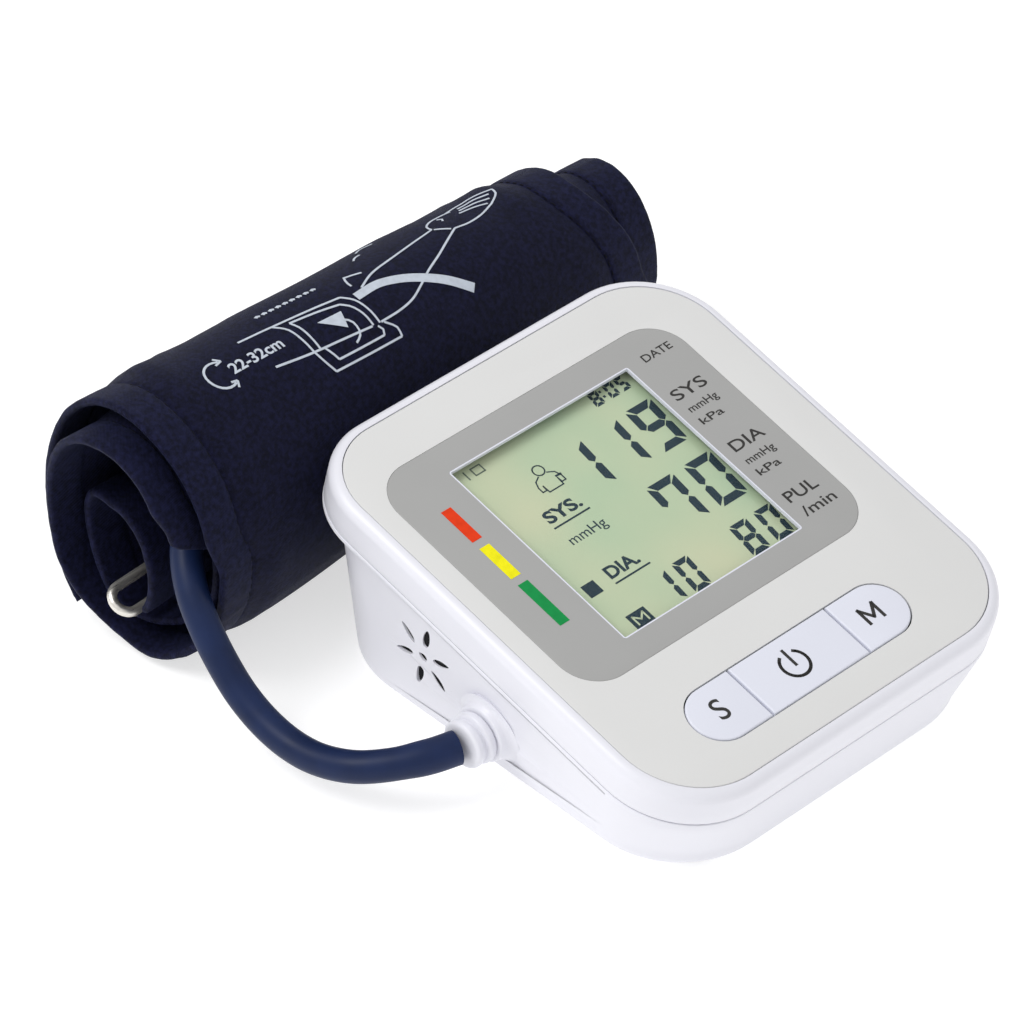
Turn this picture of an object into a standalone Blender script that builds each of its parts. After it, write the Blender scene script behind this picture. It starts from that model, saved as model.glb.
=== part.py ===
"""Upper arm blood pressure monitor with its rolled cuff and air hose.

Lengths are written in millimetres and turned into metres by the helpers, except the hose's route.
World: +X to the reader's right, +Y to the back, +Z up, and the table is at Z = 0.
The monitor's face is tilted. Face coordinates are (across, up the slope, out of the face).
"""
import math

import bmesh
import bpy
from mathutils import Matrix, Vector

MM = 0.001
GAP = 0.3                        # clearance between neighbouring solids

# Monitor housing
MONITOR_AT = (2.0, -27.5, 0.0)   # point on the table under the middle of the face
FACE_TILT = math.radians(12.9)
FACE_HEIGHT = 40.2               # middle of the face above the table
FACE_HALF = (52.5, 59.0)         # housing outline in face coordinates
FACE_RADII = (20.9, 17.9, 20.9, 20.9)
RIM_ROUND = 2.4
POCKET_INSET = 2.6
POCKET_DEPTH = 1.2
WALL = 2.2
SKIRT_DEPTH = 8.8
LIP_DEPTH = 0.9
STEP_INSET = 3.5                 # how far the lower shell steps in under the skirt at the back
BASE_HALF = (48.0, 54.5)
BASE_MID_Y = 2.75
BASE_RADII = (22.0, 23.0, 22.0, 22.0)
BASE_Z = 1.0
BASE_ROUND = 4.0
FLOOR_TOP = 3.4

# Face furniture, in face coordinates
LCD_MID = (-2.5, 10.7)
LCD_VIEW = (26.0, 26.9)
LENS_MID = (-2.7, 11.0)
LENS_HALF = (41.7, 33.4)
LENS_RADIUS = 9.1
SKIN = 0.9                       # thickness of the face plate and of the lens frame
SHELL_WINDOW = (31.0, 32.0)
LCD_GLASS = (29.5, 30.5)
KEY_MID = (-2.5, -41.2)
KEY_HALF = (30.3, 7.0)
KEY_SPLIT = 14.2                 # where the outer keys meet the middle one
PCB_TOP = 10.0                   # depth of the circuit board's top under the face
PCB_THICK = 1.6

# Base furniture, in the monitor's own coordinates
DOOR_HALF_X = 30.0
DOOR_FRONT_Y = -8.0
DOOR_TRAVEL = 8.0
BATTERY_RADIUS = 7.1
BATTERY_PITCH = 14.6
BATTERY_LENGTH = 49.5
BATTERY_MID = (21.3, 11.2)       # y and z
BAY_HALF_X = 31.8
BAY_Y = (-9.5, 52.0)
BAY_TOP = 20.5
BAY_WALL = 1.3
PUMP_AT = (-26.0, 12.5)          # y and z of the pump's axis
FRONT_SCREW = (40.5, -26.0)
BACK_SCREW = (38.0, 44.0)
FEET = ((33.0, -41.0), (-33.0, -41.0), (38.0, 28.0), (-38.0, 28.0))
FOOT_RADIUS = 4.5
POST_RADIUS = 3.2
SCREW_HOLE = 1.75
SCREW_HEAD = 3.0                 # radius of the recess for a screw's head
PORT_RADIUS = 6.5
SPEAKER_AT = (22.2, 19.5)        # y and z on the left wall
PORT_AT = (1.7, 13.5)            # y and z on the left wall
TEE_AT = (-38.5, -12.0, 13.5)

# Cuff, rolled up behind the monitor, in world coordinates
CUFF_NEAR = (-75.3, 51.6, 33.0)
CUFF_FAR = (79.2, 64.6, 24.9)
CUFF_HALF = (28.6, 37.4)         # the spiral's half width and height at its outer end
CUFF_FAR_SCALE = (0.82, 0.753)   # the roll is thinner at its far end
CUFF_BAND = 4.4                  # cloth, bladder and lining together
CUFF_PITCH = 5.4
CUFF_START = -40.0               # degrees round the roll where the inner end lies
CUFF_TURNS = 2.75
CORE_SHIFT = (6.0, -10.0)        # the loose innermost turn sags to the back and down
CORE_HALF = (10.4, 14.0)
CUFF_LAPS = (                    # degrees round the band, its near edge and its far edge
    (-40, -76.0, 84.2), (230, -76.0, 82.0), (320, -67.0, 77.0), (366, -69.0, 76.0),
    (384, -80.5, 76.0), (405, -83.0, 76.0), (468, -85.0, 76.0),
    (560, -82.0, 74.0), (630, -76.0, 71.0), (690, -71.4, 70.0), (720, -72.0, 69.0),
    (742, -75.0, 66.0), (810, -77.5, 59.0), (950, -78.0, 59.0),
)

RING_AT = (0.0, 58.0, 11.2)      # middle of the wire loop's hinge wire
RING_TURN = (math.radians(30), math.radians(1.1), math.radians(4.5))
RING_LENGTH = 158.0
RING_WIDTH = 6.4
RING_WIRE = 1.1                  # radius of the wire

# Air hose: it leaves the plug, lies on the table and climbs into the roll (metres)
HOSE_DIAMETER = 0.007
HOSE_ROUTE = (
    (-0.0564, -0.0255, 0.0135), (-0.0624, -0.0234, 0.0132), (-0.0688, -0.0188, 0.0119),
    (-0.0731, -0.0128, 0.0100), (-0.0754, -0.0052, 0.0082), (-0.0763, 0.0025, 0.0077),
    (-0.0767, 0.0101, 0.0091), (-0.0769, 0.0171, 0.0124), (-0.0768, 0.0233, 0.0173),
    (-0.0766, 0.0287, 0.0232), (-0.0751, 0.0345, 0.0288), (-0.0711, 0.0405, 0.0337),
    (-0.0648, 0.0450, 0.0377), (-0.0568, 0.0480, 0.0403), (-0.0478, 0.0497, 0.0416),
    (-0.0380, 0.0505, 0.0430),
)

WHITE = (0.80, 0.80, 0.83)
PLATE = (0.68, 0.68, 0.67)
NAVY = (0.012, 0.018, 0.045)
BLACK_PLASTIC = ((0.1, 0.1, 0.11), 0.5)
STEEL = ((0.7, 0.7, 0.7), 0.3, 1.0)
ALONG_X = (0, math.pi / 2, 0)    # turns a piece made about Z so that it lies along X


# ---------------------------------------------------------------- helpers

def clear_scene():
    for obj in list(bpy.data.objects):
        bpy.data.objects.remove(obj, do_unlink=True)


def collection(name):
    made = bpy.data.collections.new(name)
    bpy.context.scene.collection.children.link(made)
    return made


def material(name, colour, roughness=0.5, metallic=0.0):
    mat = bpy.data.materials.new(name)
    mat.use_nodes = True
    shader = mat.node_tree.nodes["Principled BSDF"]
    shader.inputs["Base Color"].default_value = (*colour, 1.0)
    shader.inputs["Roughness"].default_value = roughness
    shader.inputs["Metallic"].default_value = metallic
    mat.diffuse_color = (*colour, 1.0)
    return mat


def empty(name, at=(0, 0, 0), tilt=0.0, parent=None):
    obj = bpy.data.objects.new(name, None)
    obj.location = Vector(at) * MM
    obj.rotation_euler = (tilt, 0, 0)
    obj.parent = parent
    PARTS.objects.link(obj)
    return obj


def finish_mesh(name, bm, parent, at, turn, look):
    bmesh.ops.recalc_face_normals(bm, faces=bm.faces)
    mesh = bpy.data.meshes.new(name)
    bm.to_mesh(mesh)
    bm.free()
    mesh.transform(Matrix.Scale(MM, 4))
    obj = bpy.data.objects.new(name, mesh)
    obj.location = Vector(at) * MM
    obj.rotation_euler = turn
    obj.parent = parent
    if look is None:
        CUTTERS.objects.link(obj)
        obj.hide_render = True
        obj.display_type = "WIRE"
    else:
        PARTS.objects.link(obj)
        mesh.materials.append(material(name, *look))
        mesh.shade_smooth()
        mesh.set_sharp_from_angle(angle=math.radians(35))
    return obj


def box(name, size, at, parent, look=None, turn=(0, 0, 0), bevel=0.0):
    bm = bmesh.new()
    bmesh.ops.create_cube(bm, size=1.0)
    bmesh.ops.scale(bm, vec=size, verts=bm.verts)
    if bevel:
        bmesh.ops.bevel(bm, geom=bm.edges[:], offset=bevel, segments=2, affect="EDGES")
    return finish_mesh(name, bm, parent, at, turn, look)


def cylinder(name, radius, length, at, parent, look=None, turn=(0, 0, 0), sides=24):
    bm = bmesh.new()
    bmesh.ops.create_cone(bm, cap_ends=True, segments=sides, radius1=radius, radius2=radius, depth=length)
    return finish_mesh(name, bm, parent, at, turn, look)


def outline(half, radii, inset=0.0, steps=6):
    """Rounded rectangle, counterclockwise; radii are back right, back left, front left, front right."""
    points = []
    for corner, (sx, sy) in enumerate(((1, 1), (-1, 1), (-1, -1), (1, -1))):
        radius = max(radii[corner] - inset, 0.01)
        mid_x = sx * (half[0] - inset - radius)
        mid_y = sy * (half[1] - inset - radius)
        for step in range(steps + 1):
            angle = math.radians(90 * (corner + step / steps))
            points.append((mid_x + radius * math.cos(angle), mid_y + radius * math.sin(angle)))
    return points


def stadium(half, ends=(True, True), steps=10):
    """Strip with half-round ends; an end that is False is cut square."""
    radius = half[1]
    points = []
    for side, rounded in zip((1, -1), ends):
        start = -90 if side > 0 else 90
        if not rounded:
            points += [(side * half[0], -side * radius), (side * half[0], side * radius)]
            continue
        for step in range(steps + 1):
            angle = math.radians(start + 180 * step / steps)
            points.append((side * (half[0] - radius) + radius * math.cos(angle), radius * math.sin(angle)))
    return points


def slab(name, points, low, high, at, parent, look=None, turn=(0, 0, 0)):
    """Flat plate of the given outline between two heights."""
    bm = bmesh.new()
    face = bm.faces.new([bm.verts.new((x, y, low)) for x, y in points])
    grown = bmesh.ops.extrude_face_region(bm, geom=[face])
    top = [v for v in grown["geom"] if isinstance(v, bmesh.types.BMVert)]
    bmesh.ops.translate(bm, vec=(0, 0, high - low), verts=top)
    return finish_mesh(name, bm, parent, at, turn, look)


def skin(bm, rings, closed=False):
    """Bridge equal rings of points one after another, and return their vertices."""
    rows = [[bm.verts.new(p) for p in ring] for ring in rings]
    pairs = list(zip(rows, rows[1:]))
    if closed:
        pairs.append((rows[-1], rows[0]))
    for low, high in pairs:
        for i in range(len(low)):
            j = (i + 1) % len(low)
            bm.faces.new((low[i], low[j], high[j], high[i]))
    return rows


def cup(name, outer, inner, parent, look):
    """Open shell: the rings run from the open edge to the closed end, outside and inside."""
    bm = bmesh.new()
    rows = skin(bm, list(reversed(inner)) + list(outer))
    bm.faces.new(rows[0])
    bm.faces.new(rows[-1])
    return finish_mesh(name, bm, parent, (0, 0, 0), (0, 0, 0), look)


def solid_rings(name, rings, parent, look=None):
    bm = bmesh.new()
    rows = skin(bm, rings)
    bm.faces.new(rows[0])
    bm.faces.new(rows[-1])
    return finish_mesh(name, bm, parent, (0, 0, 0), (0, 0, 0), look)


def turned(name, profile, at, parent, look=None, turn=(0, 0, 0), steps=24):
    """Solid of revolution about Z; the profile is (radius, height) from the top down."""
    bm = bmesh.new()
    verts = [bm.verts.new((radius, 0, height)) for radius, height in profile]
    for a, b in zip(verts, verts[1:]):
        bm.edges.new((a, b))
    mesh = bpy.data.meshes.new(name)
    bm.to_mesh(mesh)
    bm.free()
    mesh.transform(Matrix.Scale(MM, 4))
    obj = bpy.data.objects.new(name, mesh)
    obj.location = Vector(at) * MM
    obj.rotation_euler = turn
    obj.parent = parent
    screw = obj.modifiers.new("turn", "SCREW")
    screw.steps = screw.render_steps = steps
    screw.use_merge_vertices = True
    screw.merge_threshold = 0.00001
    screw.use_smooth_shade = True
    if look is None:
        CUTTERS.objects.link(obj)
        obj.hide_render = True
        obj.display_type = "WIRE"
    else:
        PARTS.objects.link(obj)
        mesh.materials.append(material(name, *look))
    return obj


def join(obj, tool, operation="DIFFERENCE"):
    step = obj.modifiers.new(tool.name, "BOOLEAN")
    step.object = tool
    step.operation = operation
    step.solver = "EXACT"


def smooth_points(points, count):
    """Evenly spread points on a Catmull-Rom curve through the given ones."""
    ends = [2 * points[0] - points[1]] + list(points) + [2 * points[-1] - points[-2]]
    fine = []
    for a, b, c, d in zip(ends, ends[1:], ends[2:], ends[3:]):
        for step in range(24):
            t = step / 24
            fine.append(0.5 * (2 * b + (c - a) * t + (2 * a - 5 * b + 4 * c - d) * t ** 2
                               + (3 * b - a - 3 * c + d) * t ** 3))
    fine.append(Vector(points[-1]))
    run = [0.0]
    for a, b in zip(fine, fine[1:]):
        run.append(run[-1] + (b - a).length)
    spread = []
    for index in range(count):
        want = run[-1] * index / (count - 1)
        k = min(max(i for i, r in enumerate(run) if r <= want + 1e-12), len(fine) - 2)
        share = (want - run[k]) / max(run[k + 1] - run[k], 1e-12)
        spread.append(fine[k].lerp(fine[k + 1], share))
    return spread


def tube(name, points, radius, parent, look, resolution=2, closed=False):
    """Round wire or hose along a polyline given in metres."""
    curve = bpy.data.curves.new(name, "CURVE")
    curve.dimensions = "3D"
    curve.bevel_depth = radius
    curve.bevel_resolution = resolution
    curve.use_fill_caps = not closed
    spline = curve.splines.new("POLY")
    spline.points.add(len(points) - 1)
    for point, co in zip(spline.points, points):
        point.co = (*co, 1.0)
    spline.use_cyclic_u = closed
    curve.materials.append(material(name, *look))
    obj = bpy.data.objects.new(name, curve)
    obj.parent = parent
    PARTS.objects.link(obj)
    return obj


def face_to_monitor(u, v, w):
    """Face coordinates to the monitor's own coordinates."""
    cos, sin = math.cos(FACE_TILT), math.sin(FACE_TILT)
    return (u, v * cos - w * sin, FACE_HEIGHT + v * sin + w * cos)


def smoothstep(x):
    x = min(max(x, 0.0), 1.0)
    return x * x * (3 - 2 * x)


# ---------------------------------------------------------------- housing

def face_ring(inset, depth):
    return [(x, y, -depth) for x, y in outline(FACE_HALF, FACE_RADII, inset)]


def base_ring(inset, z):
    return [(x, y + BASE_MID_Y, z) for x, y in outline(BASE_HALF, BASE_RADII, inset)]


def stepped_ring(inset, depth):
    """Face ring that steps in under the skirt, fully at the back and not at all at the front."""
    ring = []
    for near, far in zip(face_ring(inset, depth), face_ring(inset + STEP_INSET, depth)):
        share = smoothstep((near[1] - 2.0) / 34.0)
        ring.append(face_to_monitor(*Vector(near).lerp(Vector(far), share)))
    return ring


def blended(low, high, share):
    return [Vector(a).lerp(Vector(b), share) for a, b in zip(low, high)]


def posts(monitor, lows, highs, name):
    """Plain posts at the four screw places, between the given heights."""
    for index, ((x, y), low, high) in enumerate(zip(SCREWS, lows, highs)):
        yield cylinder(f"{name}_post_{index + 1}", POST_RADIUS, high - low, (x, y, (low + high) / 2), monitor)


def make_upper_shell(monitor, face):
    outer = [face_ring(0.0, SKIRT_DEPTH), face_ring(0.0, RIM_ROUND)]
    for angle in (22.5, 45.0, 67.5, 90.0):
        a = math.radians(angle)
        outer.append(face_ring(RIM_ROUND * (1 - math.cos(a)), RIM_ROUND * (1 - math.sin(a))))
    outer += [face_ring(POCKET_INSET, 0.0), face_ring(POCKET_INSET, POCKET_DEPTH)]
    under = POCKET_DEPTH + WALL
    inner = [face_ring(WALL, SKIRT_DEPTH), face_ring(WALL, 5.0), face_ring(4.6, under)]
    shell = cup("upper_shell", outer, inner, face, (WHITE, 0.35))
    tops = [FACE_HEIGHT + place[1] * math.tan(FACE_TILT) - 2.35 for place in SCREWS]
    for post in posts(monitor, [z + GAP for z in BOSS_TOPS], tops, "upper"):
        join(shell, post, "UNION")
    for index, (x, y) in enumerate(SCREWS):
        place = (x, y, BOSS_TOPS[index] + 5.0)
        join(shell, cylinder(f"upper_screw_hole_{index + 1}", SCREW_HOLE, 12.0, place, monitor, sides=16))
    window = outline(SHELL_WINDOW, (2,) * 4, steps=2)
    join(shell, slab("shell_window", window, -5, 1, (*LCD_MID, 0), face))
    keys = stadium((KEY_HALF[0] + GAP, KEY_HALF[1] + GAP))
    join(shell, slab("shell_key_slot", keys, -5, 1, (*KEY_MID, 0), face))
    return shell


def lower_outer_rings():
    lip = SKIRT_DEPTH + GAP
    top = [face_to_monitor(*p) for p in face_ring(0.0, lip)]
    lip_low = [face_to_monitor(*p) for p in face_ring(0.0, lip + LIP_DEPTH)]
    wall = stepped_ring(0.0, lip + LIP_DEPTH + 0.4)
    foot = base_ring(0.0, BASE_Z + BASE_ROUND)
    rings = [top, lip_low, wall, blended(wall, foot, 0.5), foot]
    for angle in (22.5, 45.0, 67.5, 90.0):
        a = math.radians(angle)
        rings.append(base_ring(BASE_ROUND * (1 - math.cos(a)), BASE_Z + BASE_ROUND * (1 - math.sin(a))))
    return rings


def make_lower_shell(monitor):
    lip = SKIRT_DEPTH + GAP
    inner = [stepped_ring(WALL, lip), stepped_ring(WALL, lip + LIP_DEPTH + 0.4),
             base_ring(WALL, BASE_Z + BASE_ROUND + 1.5), base_ring(BASE_ROUND, FLOOR_TOP)]
    shell = cup("lower_shell", lower_outer_rings(), inner, monitor, (WHITE, 0.35))
    for post in posts(monitor, [FLOOR_TOP - 1.2] * 4, BOSS_TOPS, "lower"):
        join(shell, post, "UNION")
    for index, (x, y) in enumerate(SCREWS):
        head = cylinder(f"screw_recess_{index + 1}", SCREW_HEAD, 4.0, (x, y, BASE_Z + 1.0), monitor)
        shaft = cylinder(f"lower_screw_hole_{index + 1}", SCREW_HOLE, 40.0, (x, y, 20.0), monitor, sides=16)
        join(shell, head)
        join(shell, shaft)
    for index, (x, y) in enumerate(FEET):
        place = (x, y, BASE_Z - 1.1)
        join(shell, cylinder(f"foot_recess_{index + 1}", FOOT_RADIUS + GAP, 4.0, place, monitor))
    for cutter in door_tools(monitor, GAP, "doorway"):
        join(shell, cutter)
    place = (-50.0, *PORT_AT)
    port = cylinder("port_hole", PORT_RADIUS + GAP, 20, place, monitor, turn=ALONG_X, sides=32)
    join(shell, port)
    for slit in speaker_slits(monitor):
        join(shell, slit)
    return shell


def door_tools(monitor, grow, name):
    """The door's plate and its wider tongue; with a clearance they cut the doorway instead."""
    room = DOOR_TRAVEL + 2.0 if grow else 0.0
    top = FLOOR_TOP + (1.0 if grow else 0.0)
    front = DOOR_FRONT_Y - grow
    plate = box(f"{name}_plate", (2 * (DOOR_HALF_X + grow), 80.0, top + 5.0),
                (0, front + 40.0, (top - 5.0) / 2), monitor)
    low, length = 2.3 - grow, 46.0 + room
    tongue = box(f"{name}_tongue", (2 * (DOOR_HALF_X + 1.4 + grow), length, top - low),
                 (0, front + length / 2, (low + top) / 2), monitor)
    return plate, tongue


def speaker_slits(monitor):
    """Six petals round a small centre, lined up with the slope of the face."""
    made = []
    for index in range(6):
        angle = FACE_TILT + math.radians(90 + 60 * index)
        fat = index % 3 == 0
        half = (2.0, 0.8 if fat else 0.5)
        reach = 5.3
        y = SPEAKER_AT[0] + reach * math.cos(angle)
        z = SPEAKER_AT[1] + reach * math.sin(angle)
        made.append(slit(f"speaker_slit_{index + 1}", half, y, z, angle, monitor))
    made.append(slit("speaker_slit_middle", (1.1, 0.7), *SPEAKER_AT, FACE_TILT, monitor))
    return made


def slit(name, half, y, z, angle, monitor):
    points = [(half[0] * math.cos(a), half[1] * math.sin(a))
              for a in (2 * math.pi * i / 12 for i in range(12))]
    obj = slab(name, points, -6, 6, (-49.5, y, z), monitor)
    through_wall = Matrix(((0, 0, 1), (1, 0, 0), (0, 1, 0)))
    obj.rotation_euler = (Matrix.Rotation(angle, 3, "X") @ through_wall).to_euler()
    return obj


def make_battery_door(monitor):
    door = solid_rings("battery_door", list(lower_outer_rings()), monitor, (WHITE, 0.35))
    plate, tongue = door_tools(monitor, 0.0, "door")
    join(plate, tongue, "UNION")
    join(door, plate, "INTERSECT")
    return door


def make_feet_and_screws(monitor):
    for index, (x, y) in enumerate(FEET):
        cylinder(f"foot_{index + 1}", FOOT_RADIUS, 1.6, (x, y, 0.8), monitor, ((0.12, 0.12, 0.13), 0.8))
    for index, (x, y) in enumerate(SCREWS):
        reach = BOSS_TOPS[index] + 8.0
        profile = [(0.0, reach), (1.2, reach), (1.45, reach - 1.0), (1.45, 3.7), (2.6, 3.7), (2.6, 2.3),
                   (2.2, 1.9), (0.0, 1.9)]
        turned(f"case_screw_{index + 1}", profile, (x, y, 0), monitor, STEEL, steps=16)


# ---------------------------------------------------------------- face stack

def make_face_plate(face):
    half = (FACE_HALF[0] - POCKET_INSET - GAP, FACE_HALF[1] - POCKET_INSET - GAP)
    radii = [r - POCKET_INSET - GAP for r in FACE_RADII]
    plate = slab("face_plate", outline(half, radii), -SKIN, 0, (0, 0, 0), face, (PLATE, 0.45))
    hole = outline((LENS_HALF[0] + GAP, LENS_HALF[1] + GAP), (LENS_RADIUS,) * 4)
    join(plate, slab("lens_hole", hole, -3, 2, (*LENS_MID, 0), face))
    slot = stadium((KEY_HALF[0] + GAP, KEY_HALF[1] + GAP))
    join(plate, slab("plate_key_slot", slot, -3, 2, (*KEY_MID, 0), face))


def make_display(face):
    lens = slab("lens_frame", outline(LENS_HALF, (LENS_RADIUS,) * 4), -SKIN, 0, (*LENS_MID, 0), face,
                ((0.38, 0.38, 0.375), 0.4))
    join(lens, slab("lens_view", outline(LCD_VIEW, (0.4,) * 4, steps=1), -3, 2, (*LCD_MID, 0), face))
    pane = (SHELL_WINDOW[0] - 0.4, SHELL_WINDOW[1] - 0.4)
    slab("display_window", outline(pane, (1.6,) * 4, steps=2), -2.2, -1.2, (*LCD_MID, 0), face,
         ((0.9, 0.92, 0.9), 0.05))
    slab("lcd_panel", outline(LCD_GLASS, (0.5,) * 4, steps=1), -5.2, -2.6, (*LCD_MID, 0), face,
         ((0.45, 0.58, 0.38), 0.3))
    holder = slab("lcd_holder", outline((31.6, 32.6), (2,) * 4, steps=2), -9.4, -3.8, (*LCD_MID, 0), face,
                  (WHITE, 0.5))
    hole = outline((29.9, 30.9), (0.6,) * 4, steps=1)
    join(holder, slab("holder_hole", hole, -12, 0, (*LCD_MID, 0), face))
    x, y = LCD_MID
    box("backlight_plate", (59.0, 56.0, 1.8), (x, y + 2.2, -6.4), face, ((0.9, 0.9, 0.9), 0.4))
    box("zebra_strip", (54.0, 2.4, 4.2), (x, y - 28.6, -7.6), face, BLACK_PLASTIC)


def make_keys(face, keys):
    """Three keys in one strip, with flanges that keep them under the shell."""
    flange_top, flange_low = -4.0, -4.8
    span = KEY_HALF[0] - KEY_SPLIT - GAP / 2
    middle = KEY_SPLIT - GAP / 2
    plans = (("button_set", (span / 2, KEY_HALF[1]), (False, True)),
             ("button_power", (middle, KEY_HALF[1]), (False, False)),
             ("button_memory", (span / 2, KEY_HALF[1]), (True, False)))
    for (name, half, ends), holder in zip(plans, keys):
        cap = slab(name, stadium(half, ends), flange_low, -0.15, (0, 0, 0), holder, (WHITE, 0.4))
        bevel = cap.modifiers.new("soft_edge", "BEVEL")
        bevel.width = 0.25 * MM
        bevel.segments = 2
        bevel.limit_method = "ANGLE"
        flange = stadium((half[0], half[1] + 1.0), ends)
        tool = slab(f"{name}_flange", flange, flange_low, flange_top, (0, 0, 0), holder)
        join(cap, tool, "UNION")


def make_switches(face):
    depth = -PCB_TOP + GAP
    for name, at_x in zip(("switch_set", "switch_power", "switch_memory"), KEY_PLACES):
        profile = [(0.0, -5.9), (1.6, -5.9), (1.6, -6.7), (3.0, -6.7), (3.0, depth), (0.0, depth)]
        turned(name, profile, (KEY_MID[0] + at_x, KEY_MID[1], 0), face, BLACK_PLASTIC, steps=16)


def make_board(face):
    middle = (0, -7.0, -PCB_TOP - PCB_THICK / 2)
    box("main_pcb", (72.0, 86.0, PCB_THICK), middle, face, ((0.05, 0.25, 0.12), 0.5))
    under = -PCB_TOP - PCB_THICK - GAP
    box("controller_chip", (12.0, 12.0, 1.6), (-16.0, 2.0, under - 0.8), face, BLACK_PLASTIC)
    profile = [(0.0, 0.0), (5.5, 0.0), (5.5, -3.0), (1.5, -3.0), (1.2, -5.5), (0.0, -5.5)]
    turned("pressure_sensor", profile, (20.0, 22.0, under), face, BLACK_PLASTIC, steps=20)


# ---------------------------------------------------------------- base furniture

def make_power(monitor):
    """Battery bay, open below, with four cells, their springs and the contact plates."""
    mid_y = (BAY_Y[0] + BAY_Y[1]) / 2
    length = BAY_Y[1] - BAY_Y[0]
    low = FLOOR_TOP + GAP
    middle = (0, mid_y, (BAY_TOP + low) / 2)
    bay = box("battery_bay", (2 * BAY_HALF_X, length, BAY_TOP - low), middle, monitor, (WHITE, 0.5))
    middle = (0, mid_y, BAY_TOP / 2 - BAY_WALL)
    join(bay, box("bay_hollow", (2 * (BAY_HALF_X - BAY_WALL), length - 2 * BAY_WALL, BAY_TOP), middle, monitor))
    y, z = BATTERY_MID
    half = BATTERY_LENGTH / 2
    r = BATTERY_RADIUS
    for index in range(4):
        x = (index - 1.5) * BATTERY_PITCH
        way = 1 if index % 2 else -1
        profile = [(0.0, half), (2.7, half), (2.7, half - 1.2), (r - 0.5, half - 1.2), (r, half - 1.8),
                   (r, 0.8 - half), (r - 0.6, 0.2 - half), (0.0, 0.2 - half)]
        turned(f"battery_{index + 1}", profile, (x, y, z), monitor, ((0.2, 0.22, 0.25), 0.35, 0.3),
               turn=(-way * math.pi / 2, 0, 0), steps=20)
        start = y - way * (half + 0.1)
        coil = []
        for step in range(31):
            angle = 2 * math.pi * 3 * step / 30
            radius = 2.0 + 2.2 * step / 30
            coil.append(Vector((x + radius * math.cos(angle), start - way * (0.35 + 2.3 * step / 30),
                                z + radius * math.sin(angle))) * MM)
        tube(f"contact_spring_{index + 1}", coil, 0.3 * MM, monitor, STEEL, resolution=1)
    for name, at_y in (("contact_plate_front", BAY_Y[0] + 1.9), ("contact_plate_back", BAY_Y[1] - 1.9)):
        box(name, (58.0, 0.5, 12.0), (0, at_y, z), monitor, STEEL)


def make_air_system(monitor):
    """Pump, release valve, tee and the soft tubes between them and the hose socket."""
    y, z = PUMP_AT
    profile = [(0.0, 13.0), (2.0, 13.0), (2.0, 11.8), (7.5, 11.8), (7.5, -13.0), (0.0, -13.0)]
    turned("pump_motor", profile, (7.0, y, z), monitor, STEEL, turn=ALONG_X)
    ring = cylinder("pump_sleeve", 8.8, 14.0, (8.0, y, z), monitor, ((0.1, 0.1, 0.1), 0.9), turn=ALONG_X)
    join(ring, cylinder("sleeve_bore", 7.5 + GAP, 20.0, (8.0, y, z), monitor, turn=ALONG_X))
    profile = [(0.0, 9.0), (7.0, 9.0), (8.0, 8.0), (8.0, -8.0), (6.5, -9.0), (1.4, -9.0), (1.4, -13.0),
               (0.0, -13.0)]
    turned("pump_head", profile, (-15.5, y, z), monitor, (WHITE, 0.5), turn=ALONG_X)
    box("release_valve", (12.0, 12.0, 12.0), (28.5, y - 2.0, 10.0), monitor, BLACK_PLASTIC, bevel=0.8)
    tee = box("air_tee", (5.0, 7.0, 5.0), TEE_AT, monitor, (WHITE, 0.5), bevel=0.6)
    join(tee, cylinder("tee_bore", 1.0, 12.0, TEE_AT, monitor, turn=(math.pi / 2, 0, 0), sides=12))
    runs = {
        "tube_socket_to_tee": ((-38.5, -3.4, 13.5), (-38.3, -5.6, 13.5), (-38.5, -8.1, 13.5)),
        "tube_tee_to_pump": ((-38.5, -16.1, 13.5), (-37.2, -19.7, 13.3), (-33.8, -23.9, 12.8),
                             (-29.1, -26.0, 12.5)),
        "tube_pump_to_valve": ((-14.0, -34.9, 12.5), (-12.5, -38.0, 12.0), (-6.0, -41.0, 11.2),
                               (8.0, -42.5, 10.2), (20.0, -42.8, 10.0), (27.0, -40.0, 10.0),
                               (28.5, -34.6, 10.0)),
    }
    for name, route in runs.items():
        points = smooth_points([Vector(p) * MM for p in route], 14)
        tube(name, points, 1.8 * MM, monitor, ((0.75, 0.75, 0.72), 0.4))


def make_socket_and_speaker(monitor):
    r = PORT_RADIUS
    profile = [(0.0, 3.0), (4.6, 3.0), (4.6, -5.5), (r, -5.5), (r, -11.6), (r - 0.5, -12.2), (0.0, -12.2)]
    place = (-40.0, *PORT_AT)
    socket = turned("hose_socket", profile, place, monitor, (WHITE, 0.35), turn=ALONG_X, steps=32)
    join(socket, cylinder("socket_bore", 3.3, 16.0, (-48.0, *PORT_AT), monitor, turn=ALONG_X))
    profile = [(0.0, 2.2), (6.0, 2.2), (6.0, 0.8), (9.5, 0.8), (9.5, -2.2), (0.0, -2.2)]
    turned("speaker", profile, (-42.6, *SPEAKER_AT), monitor, BLACK_PLASTIC, turn=ALONG_X)


# ---------------------------------------------------------------- cuff

def cuff_mid(theta):
    """Middle of the rolled band at an angle in degrees, at the near end, relative to the roll's centre."""
    last = CUFF_START + 360 * CUFF_TURNS
    inward = CUFF_PITCH * (last - theta) / 360
    a = CUFF_HALF[0] - CUFF_BAND / 2 - inward
    b = CUFF_HALF[1] - CUFF_BAND / 2 - inward
    loose = smoothstep((230 - theta) / 140)
    a += (CORE_HALF[0] - a) * loose
    b += (CORE_HALF[1] - b) * loose
    angle = math.radians(theta)
    return Vector(CORE_SHIFT) * loose + Vector((-a * math.cos(angle), b * math.sin(angle)))


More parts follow.
